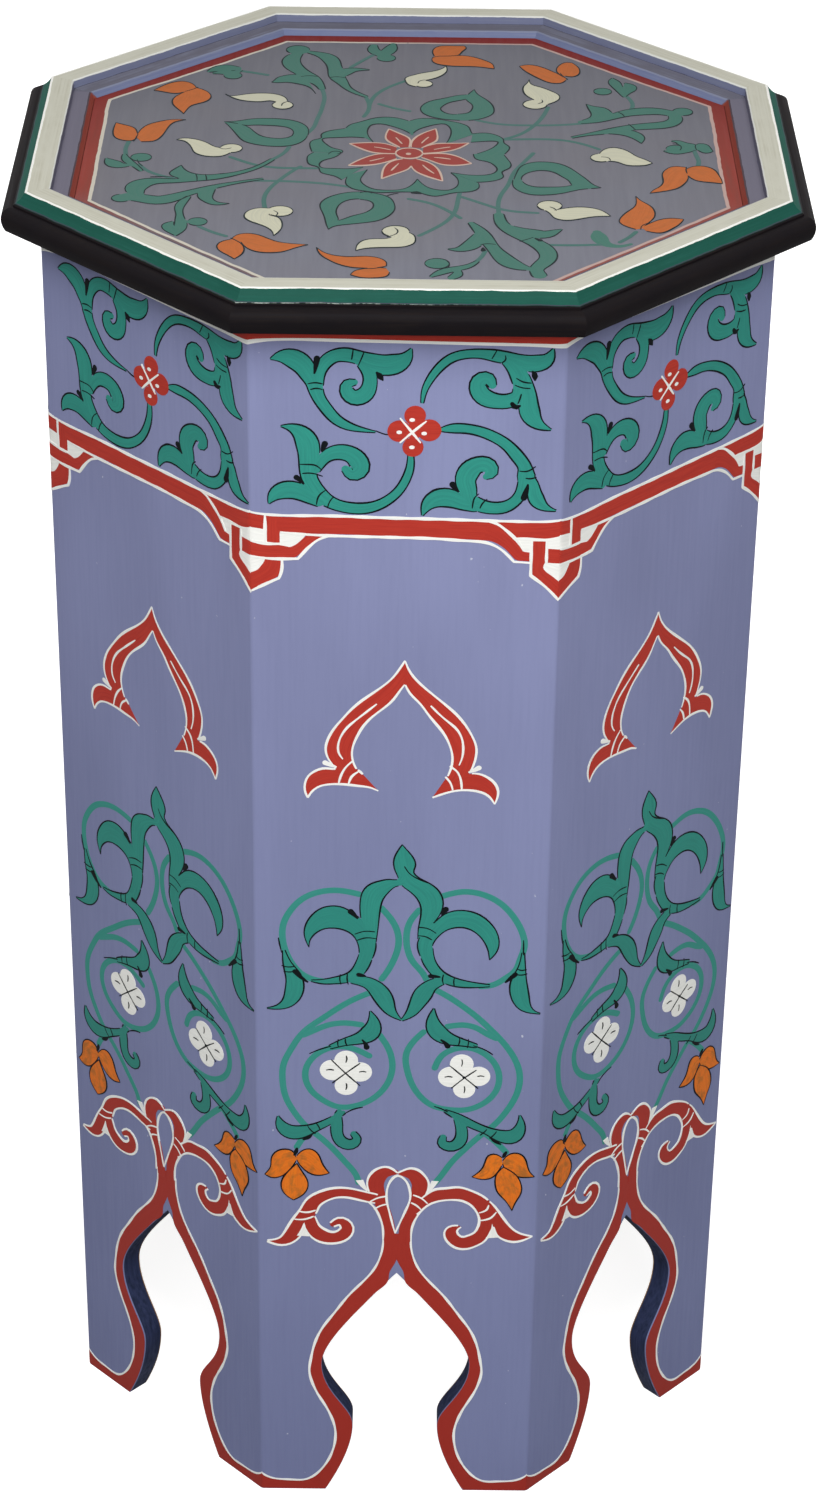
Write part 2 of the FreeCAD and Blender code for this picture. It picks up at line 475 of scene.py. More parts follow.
@dataclass(frozen=True)
class TrayPaint:
    """The tray's dull violet-grey ground, brushed from front to back, and its two border lines.

    A pair of places, in metres, says from where to where a look comes in: "_y" and "_x" pairs go
    by the place from front to back and from left to right. A pair of noise values says from where
    to where something shows, and its "most" how strong it gets.
    """

    name: str = "grey_violet_tray_paint"
    ground: tuple = (120, 121, 132)
    far: tuple = (109, 109, 117)
    far_y: tuple = (-0.15, 0.06)
    streak: tuple = (105, 105, 115)
    streak_between: tuple = (0.40, 0.75)
    streak_most: float = 0.2
    warm: tuple = (113, 109, 113)
    warm_between: tuple = (0.45, 0.7)
    warm_most: float = 0.5
    border: tuple = (138, 54, 44)
    worn: tuple = (126, 68, 60)
    worn_between: tuple = (0.45, 0.75)
    border_far: tuple = (116, 36, 33)
    border_far_y: tuple = (-0.02, 0.11)
    near_red: tuple = (136, 78, 72)
    rubbed: tuple = (112, 94, 96)
    line: tuple = (204, 198, 184)
    faded: tuple = (188, 160, 152)
    line_between: tuple = (0.2, 0.34)
    left_x: tuple = (0.02, -0.02)
    line_from: float = 148.7
    red_from: float = 150.4
    soft: float = 0.15
    corner_ease: float = 0.99
    wobble: float = 1.4
    near_y: tuple = (-0.05, -0.10)
    near_shift: float = -1.4
    back_y: tuple = (0.06, 0.11)
    back_shift: float = 1.7
    wood: tuple = (170, 134, 92)
    paint_from_z: tuple = (0.7015, 0.7018)

    def mix(self) -> bpy.types.Material:
        """Mix it.

        The border lines follow the distance from the axis, which a noise makes uneven, which counts
        a little less towards the slanting sides, and which is shifted on the near and back sides.

        Returns:
            The material.
        """
        new = Recipe(self.name, 0.55, gloss=0.12)
        x, y, z = new.parts()
        unsteady = new.sum("SUBTRACT", new.noise((70, 70, 70), 2.0), 0.5)
        near, left = new.share(y, *self.near_y), new.share(x, *self.left_x)
        away = new.away(x, y, self.corner_ease)
        for share, shift in ((unsteady, self.wobble), (near, self.near_shift),
                             (new.share(y, *self.back_y), self.back_shift)):
            away = new.sum("ADD", away, new.sum("MULTIPLY", share, shift * MM))
        brushed = new.noise((260, 16, 40), 4.0, 0.62)
        cloud = new.noise((9, 9, 9), 3.0)
        colour = new.lay(srgb(*self.ground), self.far, new.share(y, *self.far_y))
        colour = new.lay(colour, self.streak, new.share(brushed, *self.streak_between),
                         self.streak_most)
        colour = new.lay(colour, self.warm, new.share(cloud, *self.warm_between), self.warm_most)
        red = new.lay(srgb(*self.border), self.worn, new.share(brushed, *self.worn_between))
        red = new.lay(red, self.border_far, new.share(y, *self.border_far_y))
        red = new.mix(near, red, new.mix(left, srgb(*self.near_red), srgb(*self.rubbed)))
        line, band = (new.share(away, (start - self.soft) * MM, start * MM)
                      for start in (self.line_from, self.red_from))
        pale = new.mix(left, srgb(*self.faded), srgb(*self.line))
        shown = new.sum("MULTIPLY", line, new.share(brushed, *self.line_between))
        colour = new.mix(band, new.mix(shown, colour, pale), red)
        painted = new.mix(new.share(z, *self.paint_from_z), srgb(*self.wood), colour)
        return new.finish(painted, brushed, 0.03, new.share(brushed, -0.9, 1.6))


@dataclass(frozen=True)
class BandPaint:
    """The moulding's bands of paint, told apart by how far round its section a place lies.

    Each band has its colour, and its worn one where it wears. A pair of places, in metres, says
    from where to where a look comes in, and a pair of noise values from where to where it shows.
    """

    name: str = "moulding_paint"
    bands: tuple = ()
    girth: float = 1.0
    waver: float = 1.1
    black: tuple = (18, 15, 18)
    black_worn: tuple = (32, 26, 24)
    bead: tuple = (26, 52, 46)
    bead_worn: tuple = (44, 84, 70)
    # Painted highlight: broken white glints along the front side's quirk, fading to the right.
    painted_glint: tuple = (188, 200, 190)
    painted_glint_between: tuple = (0.42, 0.60)
    painted_glint_y: tuple = (-0.1825, -0.1835)
    painted_glint_x: tuple = (0.05, -0.04)
    green: tuple = (28, 78, 67)
    green_worn: tuple = (39, 93, 82)
    cream: tuple = (202, 201, 187)
    cream_worn: tuple = (180, 177, 159)
    # Painted highlight: a whiter line along the crown's outer edge.
    bright: tuple = (246, 246, 240)
    shadow: tuple = (70, 68, 84)
    # Painted highlight: a pale line along the crown's inner edge.
    lip: tuple = (212, 214, 208)
    step: tuple = (110, 115, 142)
    step_worn: tuple = (122, 128, 148)
    ledge: tuple = (102, 101, 113)
    ledge_worn: tuple = (128, 132, 150)
    # Painted highlight: a light line along the ledge's arris.
    arris: tuple = (122, 128, 150)
    riser: tuple = (104, 113, 145)
    riser_worn: tuple = (124, 131, 156)
    near_step: tuple = (94, 92, 108)
    near_ledge: tuple = (114, 111, 125)
    # Painted shade: a dark line along the ledge's arris on the near sides.
    near_arris_shade: tuple = (74, 62, 68)
    border: tuple = (130, 60, 50)
    near_y: tuple = (0.0666, 0.0656)

    def mix(self) -> bpy.types.Material:
        """Mix it.

        The bands' borders waver by a noise, and each band is worn along its length. Painted highlight
        glints break the front's quirk, and the tray's red border runs up the riser, but for the far sides.
        The bright, lip and arris bands are painted highlights, and the near sides' arris a painted shade.

        Returns:
            The material.
        """
        new = Recipe(self.name, 0.46, gloss=0.06)
        x, y, _ = new.parts()
        _, round_it, _ = new.parts(along_brush=True)
        unsteady = new.noise((90, 30, 9), 3.0, 0.6, along_brush=True)
        rough = new.sum("MULTIPLY", new.sum("SUBTRACT", unsteady, 0.5), self.waver * MM)
        at = new.sum("DIVIDE", new.sum("ADD", round_it, rough), self.girth * MM)
        streaks = new.noise((14, 900, 60), 4.0, 0.65, along_brush=True)
        patches = new.noise((60, 120, 7), 3.0, 0.6, along_brush=True)
        age = new.sum("MULTIPLY", new.share(streaks, 0.4, 0.75), new.share(patches, 0.3, 0.7))
        fresh, worn = (new.steps(at, [(start, srgb(*getattr(self, name + state, getattr(self, name))))
                                      for name, start in self.bands]) for state in ("", "_worn"))
        # Painted highlight: white dashes on the quirk, only on the front side and fading to the right.
        highlight_dashes = new.share(new.noise((420, 40, 9), 2.0, along_brush=True), *self.painted_glint_between)
        for place, reach in ((y, self.painted_glint_y), (x, self.painted_glint_x)):
            highlight_dashes = new.sum("MULTIPLY", highlight_dashes, new.share(place, *reach))
        bead = new.steps(at, [(start, (float(name == "bead"),) * 3 + (1.0,))
                              for name, start in self.bands])
        colour = new.lay(new.mix(age, fresh, worn), self.painted_glint, bead, highlight_dashes)
        near = new.share(y, *self.near_y)
        starts = dict(self.bands)
        # On the near sides the arris band becomes a painted shade line in place of the painted highlight.
        for name, paint in (("step", self.near_step), ("ledge", self.near_ledge),
                            ("arris", self.near_arris_shade), ("riser", self.border)):
            past = new.share(at, starts[name], starts[name] + 0.001)
            colour = new.lay(colour, paint, near, past)
        return new.finish(colour, streaks, 0.08, new.share(streaks, -0.9, 1.3))


@dataclass(frozen=True)
class BrushPaint:
    """One pot of ornament paint: its colour, what it dries darker to, how patchy it is, and the darker
    colour it is painted towards the floor as shade."""

    name: str
    full: tuple
    thin: tuple
    patch: tuple | None = None
    patchy: float = 0.0
    # Painted shade: the colour that the paint darkens to towards the floor.
    foot: tuple | None = None
    foot_shade_z: tuple = (0.42, 0.06)
    own_most: float = 0.4
    roughness: float = 0.5
    gloss: float = 0.14

    def mix(self) -> bpy.types.Material:
        """Mix it: bristle streaks along the stroke, a tint of the stroke's own, and patches.

        Returns:
            The material.
        """
        new = Recipe(self.name, self.roughness, self.gloss)
        bristles = new.noise((55, 1300, 60), 3.0, 0.6, along_brush=True)
        own = new.noise((6, 6, 900), 1.0, along_brush=True)
        colour = new.lay(srgb(*self.full), self.thin, new.share(bristles, 0.38, 0.78))
        colour = new.lay(colour, self.thin, new.share(own, 0.4, 0.75), self.own_most)
        if self.patch:
            cloud = new.noise((190, 260, 30), 3.0, 0.6, along_brush=True)
            colour = new.lay(colour, self.patch, new.share(cloud, 0.45, 0.68), self.patchy)
        # Painted shade: the paint darkens towards the floor.
        if self.foot:
            colour = new.lay(colour, self.foot, new.share(new.parts()[2], *self.foot_shade_z))
        return new.finish(colour, bristles, 0.05)


@dataclass(frozen=True)
class BareWood:
    """Unpainted softwood, its grain running up and down."""

    name: str = "bare_softwood"
    light: tuple = (178, 142, 100)
    dark: tuple = (136, 100, 62)

    def mix(self) -> bpy.types.Material:
        """Mix it: growth rings stretched up the board, with fine fibres over them.

        Returns:
            The material.
        """
        new = Recipe(self.name, 0.7)
        rings = new.noise((80, 80, 4), 4.0)
        colour = new.lay(srgb(*self.light), self.dark, new.share(rings, 0.35, 0.65))
        return new.finish(colour, new.noise((600, 600, 20), 2.0), 0.06)


@dataclass(frozen=True)
class ScrewSteel:
    """Dull zinc-plated steel."""

    name: str = "zinc_steel"
    bright: tuple = (176, 174, 168)
    dull: tuple = (128, 124, 116)

    def mix(self) -> bpy.types.Material:
        """Mix it: bright steel with dull clouds.

        Returns:
            The material.
        """
        new = Recipe(self.name, 0.38, gloss=0.5, metallic=0.9)
        cloud = new.noise((500, 500, 500), 3.0)
        colour = new.lay(srgb(*self.bright), self.dull, new.share(cloud, 0.4, 0.65))
        return new.finish(colour, cloud, 0.02)


@dataclass
class SideBoards:
    """The eight mitred boards, with a keyhole arch sawn out of each foot and soft arrises."""

    apothem: float = 172.5
    thickness: float = 12.0
    height: float = 692.0
    arris: float = 3.0
    arch_rounding: float = 0.35
    crisp_past: float = 28.0
    merge: float = 0.01
    flare: tuple = ((37, 0), (29.824, 13.8), (22.5, 30.88), (22.5, 46))
    swell: tuple = ((22.5, 46), (22.5, 57.76), (39, 67.84), (39, 88))
    point: tuple = ((39, 88), (39, 101.02), (24.8, 119), (0, 150))
    paint: BoardPaint = BoardPaint()

    @property
    def corner(self) -> float:
        """Return how far the flat face reaches from its middle, up to the rounded arris."""
        return self.apothem * MITRE - self.arris * MITRE

    @property
    def half(self) -> float:
        """Return how far the painted face reaches from its middle to the corner."""
        return self.apothem * MITRE - self.arris * (MITRE - math.sin(SIDE_ANGLE / 2))

    def drop(self, u: Points) -> Points:
        """Return how far the rounded arris falls below the face: r - sqrt(r^2 - past^2)."""
        past = np.maximum(np.abs(u) - self.corner, 0)
        return self.arris - np.sqrt(self.arris ** 2 - past ** 2)

    def arch(self, rows: int = 36) -> Points:
        """Draw the arch's edge: three cubic Bezier curves end to end.

        Each is (1-t)^3 a + 3 t (1-t)^2 b + 3 t^2 (1-t) c + t^3 d.

        Args:
            rows: how many points each curve gets.

        Returns:
            Rows of (half width, height), from the floor to the point.
        """
        t = np.linspace(0, 1, rows)[:, None]
        blend = np.hstack([(1 - t) ** 3, 3 * t * (1 - t) ** 2, 3 * t ** 2 * (1 - t), t ** 3])
        curves = [blend @ np.array(curve, float) for curve in (self.flare, self.swell, self.point)]
        return np.vstack([curves[0], curves[1][1:], curves[2][1:]])

    def half_section(self, edge: Points) -> Points:
        """Draw level sections through the right half of a board.

        A loop runs up the arch's edge, round its small rounding, along the face, round the arris
        to the mitre, down the mitre and back along the inside.

        Args:
            edge: how far the sawn edge lies from the board's middle, for each section.

        Returns:
            A loop of (u, depth) for each section, all with as many corners.
        """
        small = np.minimum(self.arch_rounding, edge)
        corner = np.radians([0, 30, 60, 90])
        turn = np.linspace(0, SIDE_ANGLE / 2, 7)
        arch_u = edge[:, None] + small[:, None] * (1 - np.cos(corner))
        arch_d = -small[:, None] * (1 - np.sin(corner))
        wide = np.linspace(0, 1, 8)[1:-1]
        face_u = arch_u[:, -1:] + (self.corner - arch_u[:, -1:]) * wide
        arris_u = np.broadcast_to(self.corner + self.arris * np.sin(turn), (len(edge), len(turn)))
        arris_d = np.broadcast_to(-self.arris * (1 - np.cos(turn)), arris_u.shape)
        inner = (self.apothem - self.thickness) * MITRE
        back_u = inner + (edge[:, None] - inner) * np.linspace(0, 1, 7)
        u = np.hstack([arch_u, face_u, arris_u, back_u])
        d = np.hstack([arch_d, np.zeros_like(face_u), arris_d,
                       np.full_like(back_u, -self.thickness)])
        return np.stack([u, d], axis=2)

    def build(self) -> None:
        """Make the eight boards: the half section carried up, mirrored, and sewn up the middle."""
        arch = self.arch()
        above = np.linspace(arch[-1, 1], self.height, 24)[1:]
        edge = np.append(arch[:, 0], np.zeros(len(above)))
        tall = np.append(arch[:, 1], above)
        loops = self.half_section(edge)
        rows, ring = loops.shape[:2]
        index = numbered(rows, ring)
        quads = between(index)
        sawn = quads[: len(arch) - 1, -1]
        quads = np.vstack([quads[:, :-1].reshape(-1, 4), sawn]).tolist()
        quads += [index[0, ::-1].tolist(), index[-1].tolist()]
        half = np.stack([loops[..., 0], np.broadcast_to(tall[:, None], (rows, ring)),
                         loops[..., 1]], axis=2).reshape(-1, 3)
        other = [[corner + rows * ring for corner in face[::-1]] for face in quads]
        points = np.vstack([half, half * [-1, 1, 1]])
        material = self.paint.mix()
        for side in range(1, SIDES + 1):
            piece = new_piece(f"violet_board_{side}", board_face(side, self.apothem).place(points),
                              quads + other, material)
            face_outwards(piece.data, self.merge * MM)
            piece.data.set_sharp_from_angle(angle=math.radians(self.crisp_past))
            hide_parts(f"side_board_{side}")


def rows_of(knots: str | Points) -> Points:
    """Read knots that are written with commas in a row and spaces between the rows.

    Args:
        knots: the text, or rows that are already numbers.

    Returns:
        The rows.
    """
    if isinstance(knots, str):
        return np.array([[float(value) for value in knot.split(",")] for knot in knots.split()])
    return np.asarray(knots, float)


class Paint(Enum):
    """The pots of paint that the ornament is laid on with, from the first coat to the last."""

    STEM = "stem_green"
    GREEN = "leaf_green"
    ORANGE = "orange"
    RED = "red"
    CREAM = "cream"
    WHITE = "white"
    BLACK = "black"


@dataclass(frozen=True)
class Motif:
    """Painted strokes of one colour, which touch or cross, with one outline round them all.

    A stroke is a row of u,v,width knots down its middle. A leaf is its two edges, each a row of
    u,v knots from one end of it to the other, with a bar between them. A dot is u,v,radius. Lines
    are rows of u,v knots drawn with the outline's brush, and touches are strokes in the outline's
    paint. The whole motif climbs to the right by so much for each millimetre.
    """

    fill: Paint
    edge: Paint | None = None
    edge_width: float = 0.78
    layer: int = 0
    climb: float = 0.0
    strokes: tuple = ()
    leaves: tuple = ()
    dots: str = ""
    lines: tuple = ()
    touches: tuple = ()


@dataclass
class Brushwork:
    """The painter's hand on one flat surface. It gathers the films of each paint.

    A film is a low closed ridge, a lens-shaped section carried along a stroke: its flat underside
    lies just inside the wood, and its top stands proud by its coat and a little more in the middle.
    """

    plane: Plane
    rng: np.random.Generator
    wander: float = 0.0
    shift: tuple = (0.0, 0.0)
    tilt: float = 0.0
    drift_waves: int = 6
    drift_pace: tuple = (0.012, 0.035)
    step: float = 1.6
    thinnest: float = 0.3
    slim: float = 2.0
    blunt_from: float = 0.5
    blunt_turns: tuple = (25.0, 50.0, 72.0, 88.0)
    dot_gap: float = 0.04
    dot_rows: int = 13
    sunk: float = 0.04
    coat: float = 0.04
    coat_per_layer: float = 0.07
    coat_per_shape: float = 0.003
    crown: float = 0.03
    edge_coat: float = 0.05
    line_coat: float = 0.01
    touch_coat: float = 0.02
    line_share: float = 0.9
    light_press: float = 0.62
    firm_press: float = 0.38
    press_power: float = 0.6
    tremor: float = 0.16
    tremor_pace: float = 0.35
    fold_reach: int = 8
    fold_share: float = 0.9
    fold_slack: float = 0.12
    end_gap: float = 0.1
    crisp_past: float = 40.0
    films: dict = field(default_factory=dict)

    def __post_init__(self) -> None:
        """Draw the slow drift that makes each copy of a design a little different."""
        shape = (self.drift_waves, 2)
        self.waves = self.rng.uniform(*self.drift_pace, shape) * self.rng.choice([-1, 1], shape)
        self.phases = self.rng.uniform(0, 2 * math.pi, shape)
        self.climb = 0.0

    def drift(self, points: Points) -> Points:
        """Move points as the hand drifts: six slow sine waves, and a steady shift.

        Args:
            points: rows of (u, v).

        Returns:
            The moved rows.
        """
        swing = np.sin(points @ self.waves.T + self.phases[:, 0]).sum(axis=1)
        sway = np.sin(points @ self.waves[::-1].T + self.phases[:, 1]).sum(axis=1)
        slant = np.stack([np.zeros(len(points)), points[:, 0] * (self.climb + self.tilt)], axis=1)
        return points + slant + np.stack([swing, sway], axis=1) * self.wander + self.shift

    def film(self, paint: Paint, left: Points, right: Points, height: float) -> None:
        """Lay one film between two edges of as many points.

        The section runs from the left edge to the right one as height + crown (1 - t^2), with t
        from -1 to 1, and back along the underside. The two ends are closed.

        Args:
            paint: what it is laid with.
            left: the (u, v) edge on the left of the way the stroke goes.
            right: the other edge.
            height: how far the film's edges stand proud.
        """
        width = np.linalg.norm(right - left, axis=1)
        across = np.array([-1.0, 0.0, 1.0]) if width.max() < self.slim else np.linspace(-1, 1, 5)
        top = (left[:, None] * (1 - across[:, None]) + right[:, None] * (1 + across[:, None])) / 2
        rise = height + self.crown * np.minimum(width, 1.0)[:, None] * (1 - across ** 2)
        plan = np.concatenate([top, np.stack([right, left], axis=1)], axis=1)
        level = np.concatenate([rise, np.full((len(left), 2), -self.sunk)], axis=1)
        rows, ring = level.shape
        along = np.concatenate([[0], np.cumsum(np.linalg.norm(np.diff((left + right) / 2, axis=0),
                                                              axis=1))])
        spread = np.concatenate([width[:, None] * across / 2, width[:, None] * [0.5, -0.5]], axis=1)
        tag = np.full((rows, ring), self.rng.uniform(0, 1))
        brush = np.stack([np.broadcast_to(along[:, None], (rows, ring)), spread, tag], axis=2)
        index = numbered(rows, ring, sum(len(points) for points, _, _ in self.films.get(paint, [])))
        faces = between(index).reshape(-1, 4).tolist() + [index[0, ::-1].tolist(), index[-1].tolist()]
        points = np.concatenate([plan, level[:, :, None]], axis=2).reshape(-1, 3)
        self.films.setdefault(paint, []).append((points, brush.reshape(-1, 3), faces))

    def dot_edges(self, dot: Points) -> tuple:
        """Draw a round dot's two edges, (u, v) +- r (cos a, sin a).

        Args:
            dot: its u, v and radius.

        Returns:
            Its left edge, its right edge and its width along them.
        """
        turn = np.linspace(self.dot_gap, math.pi - self.dot_gap, self.dot_rows)[:, None]
        reach = dot[2] * np.hstack([-np.cos(turn), np.sin(turn)])
        left, right = (self.drift(dot[:2] + reach * [1, flip]) for flip in (1, -1))
        return left, right, 2 * dot[2] * np.sin(turn[:, 0])

    def stroke_edges(self, knots: Points) -> tuple:
        """Draw a stroke's two edges, with its blunt ends rounded.

        A blunt end runs on by r sin(a) while its half width shrinks as r cos(a).

        Args:
            knots: rows of (u, v, width) down its middle.

        Returns:
            Its left edge, its right edge and its width along them.
        """
        rows = smooth(knots, self.step)
        path, width = rows[:, :2], np.maximum(rows[:, 2], self.thinnest)
        turn = np.radians(self.blunt_turns)
        for end, before in ((0, 1), (-1, -2)):
            radius = width[end] / 2
            if radius < self.blunt_from:
                continue
            ahead = path[end] - path[before]
            ahead /= np.linalg.norm(ahead)
            tip = path[end] + ahead * radius * np.sin(turn)[:, None]
            narrow = 2 * radius * np.cos(turn)
            if end == 0:
                path, width = np.vstack([tip[::-1], path]), np.append(narrow[::-1], width)
            else:
                path, width = np.vstack([path, tip]), np.append(width, narrow)
        path = self.drift(path)
        reach = sideways(path) * width[:, None] / 2
        return path + reach, path - reach, width

    def leaf_edges(self, first: Points, second: Points) -> tuple:
        """Draw a leaf between its two edges.

        Args:
            first, second: the edges' (u, v) knots, from one end of the leaf to the other.

        Returns:
            Its left edge, its right edge and its width along them.
        """
        rows = max(len(smooth(first, self.step)), len(smooth(second, self.step)))
        edges = []
        for knots in (first, second):
            fine = smooth(knots, self.step / 4)
            edges.append(self.drift(fine[np.linspace(0, len(fine) - 1, rows).astype(int)]))
        left, right = edges
        ring = np.vstack([left, right[::-1]])
        after = np.roll(ring, -1, axis=0)
        if (ring[:, 0] * after[:, 1] - ring[:, 1] * after[:, 0]).sum() > 0:
            left, right = right, left
        return left, right, np.linalg.norm(left - right, axis=1)

    def line(self, paint: Paint, path: Points, width: float, height: float) -> None:
        """Lay a drawn line along a path, its width swelling and thinning as the hand presses.

        Over the line's share s the half width is w/2 (light + firm sin^power(pi s)), where light,
        firm and power are how the hand presses, times a slow wave, its tremor.

        Args:
            paint: what it is drawn with.
            path: its (u, v) points.
            width: its full width w.
            height: how far its edges stand proud.
        """
        if len(path) < 3:
            return
        share = np.linspace(0, 1, len(path))
        press = self.light_press + self.firm_press * np.sin(math.pi * share) ** self.press_power
        turns = share * len(path) * self.tremor_pace + self.rng.uniform(0, 6)
        wave = 1 + self.tremor * np.sin(turns)
        reach = sideways(path) * (width * press * wave / 2)[:, None]
        self.film(paint, path + reach, path - reach, height)

    def bare(self, shapes: list, order: int, edge: Points) -> Points:
        """Tell where one shape's edge stays without an outline.

        That is where it lies inside another shape, and where a stroke's inner edge folds over at
        a tight turn, so that it comes nearer than its half width to the middle a few points on.

        Args:
            shapes: the left edge, the right edge and the folding width of each shape.
            order: the place of the shape among them.
            edge: the points of one of its edges.

        Returns:
            True for each point that stays bare.
        """
        bare = np.zeros(len(edge), bool)
        for left, right, _ in shapes[:order] + shapes[order + 1:]:
            bare |= inside(edge, np.vstack([left, right[::-1]]))
        left, right, width = shapes[order]
        gap = np.linalg.norm(edge[:, None] - ((left + right) / 2)[None], axis=2)
        near = np.abs(np.subtract.outer(np.arange(len(edge)), np.arange(len(edge))))
        folded = gap < width[None] / 2 * self.fold_share - self.fold_slack
        return bare | (folded & (near < self.fold_reach)).any(axis=1)

    def paint(self, motif: Motif) -> None:
        """Lay a motif: its strokes, leaves and dots, the outline round their union, and its lines."""
        self.climb = motif.climb
        base = self.coat + self.coat_per_layer * motif.layer
        shapes = [self.stroke_edges(rows_of(knots)) for knots in motif.strokes]
        for leaf in motif.leaves:
            one, two = leaf.split("|") if isinstance(leaf, str) else leaf
            shapes.append(self.leaf_edges(rows_of(one), rows_of(two)))
        shapes += [self.dot_edges(dot) for dot in rows_of(motif.dots)]
        for order, (left, right, _) in enumerate(shapes):
            self.film(motif.fill, left, right, base + self.coat_per_shape * order)
        if motif.edge is None:
            return
        ink = base + self.edge_coat
        folding = [(left, right, width * (order < len(motif.strokes)))
                   for order, (left, right, width) in enumerate(shapes)]
        for order, (left, right, _) in enumerate(folding):
            for edge in (left, right):
                bare = self.bare(folding, order, edge)
                for run in np.split(np.arange(len(edge)), np.flatnonzero(np.diff(bare)) + 1):
                    if not bare[run[0]] and len(run) > 2:
                        self.line(motif.edge, edge[run], motif.edge_width, ink)
        for knots in motif.lines:
            path = self.drift(smooth(rows_of(knots), self.step / 2))
            self.line(motif.edge, path, motif.edge_width * self.line_share, ink + self.line_coat)
        for knots in motif.touches:
            left, right, _ = self.stroke_edges(rows_of(knots))
            self.film(motif.edge, left, right, ink + self.touch_coat)

    def steady(self, motif: Motif) -> None:
        """Lay a motif that has to meet its neighbours, with no wandering of the hand."""
        wander, self.wander = self.wander, 0.0
        self.paint(motif)
        self.wander = wander

    def pieces(self, name: str, finishes: dict, boards: SideBoards | None = None) -> None:
        """Make one piece of each paint's films, bent round the arrises of a board.

        Args:
            name: the place, which each piece's name ends with.
            finishes: the material of each paint.
            boards: the boards whose rounded arris the films follow, or None on the flat tray.
        """
        for paint, films in self.films.items():
            points = np.vstack([rows for rows, _, _ in films])
            if boards is not None:
                points[:, 0] = np.clip(points[:, 0], -boards.half, boards.half)
                points[:, 1] = np.clip(points[:, 1], self.end_gap, boards.height - self.end_gap)
                points[:, 2] -= boards.drop(points[:, 0])
            brush = np.vstack([rows for _, rows, _ in films]) * [MM, MM, 1.0]
            faces = [face for _, _, some in films for face in some]
            new_piece(f"{paint.value}_{name}", self.plane.place(points), faces,
                      finishes[paint], brush=brush, sharp=self.crisp_past)


def evenly(path: str, width: float) -> str:
    """Return a path of u,v knots as a stroke's knots, with the same width all along."""
    return " ".join(f"{knot},{width}" for knot in path.split())


# Every stroke is listed one by one. On a board it is in millimetres right of the middle and up from
# the floor, where 72 lies past the corner and is cut there; on the tray, right of its middle and
# away from the front. A stroke's third number is its full width. The frieze and the onion arch
# climb to the right by FRIEZE_CLIMB for each millimetre.
FRIEZE_CLIMB = 0.013
RING_WIDTH = 3.3
TRAY_STEM_WIDTH = 2.2
RING_LEAF = dict(fill=Paint.GREEN, edge=Paint.BLACK)
TRAY_LEAF = dict(fill=Paint.GREEN, edge=Paint.BLACK, edge_width=0.7, layer=1)
TREFOIL = dict(fill=Paint.GREEN, edge=Paint.BLACK, edge_width=0.6, layer=1)
COMMA = dict(fill=Paint.CREAM, edge=Paint.BLACK, edge_width=0.7, layer=2)
ORANGE_PAIR = dict(fill=Paint.ORANGE, edge=Paint.BLACK, edge_width=0.7, layer=2)

# The red strip and the white line at the very top of a board.
TOP_STRIP = [
    Motif(Paint.RED, leaves=(
        "-72,691.8 -40,691.8 0,691.8 40,691.8 72,691.8 | -72,681 -66,681.9 -40,682.3 0,681.8 40,681.2"
        " 66,680.7 72,681",)),
    Motif(Paint.WHITE, layer=1, strokes=(
        "-72,680.6,2.3 -69,681.2,2.1 -65,681.7,1.7 -40,682.2,1.5 0,681.6,1.4 40,681,1.5 64,680.5,1.8"
        " 69,680.4,2.1 72,680.6,2.3",))]

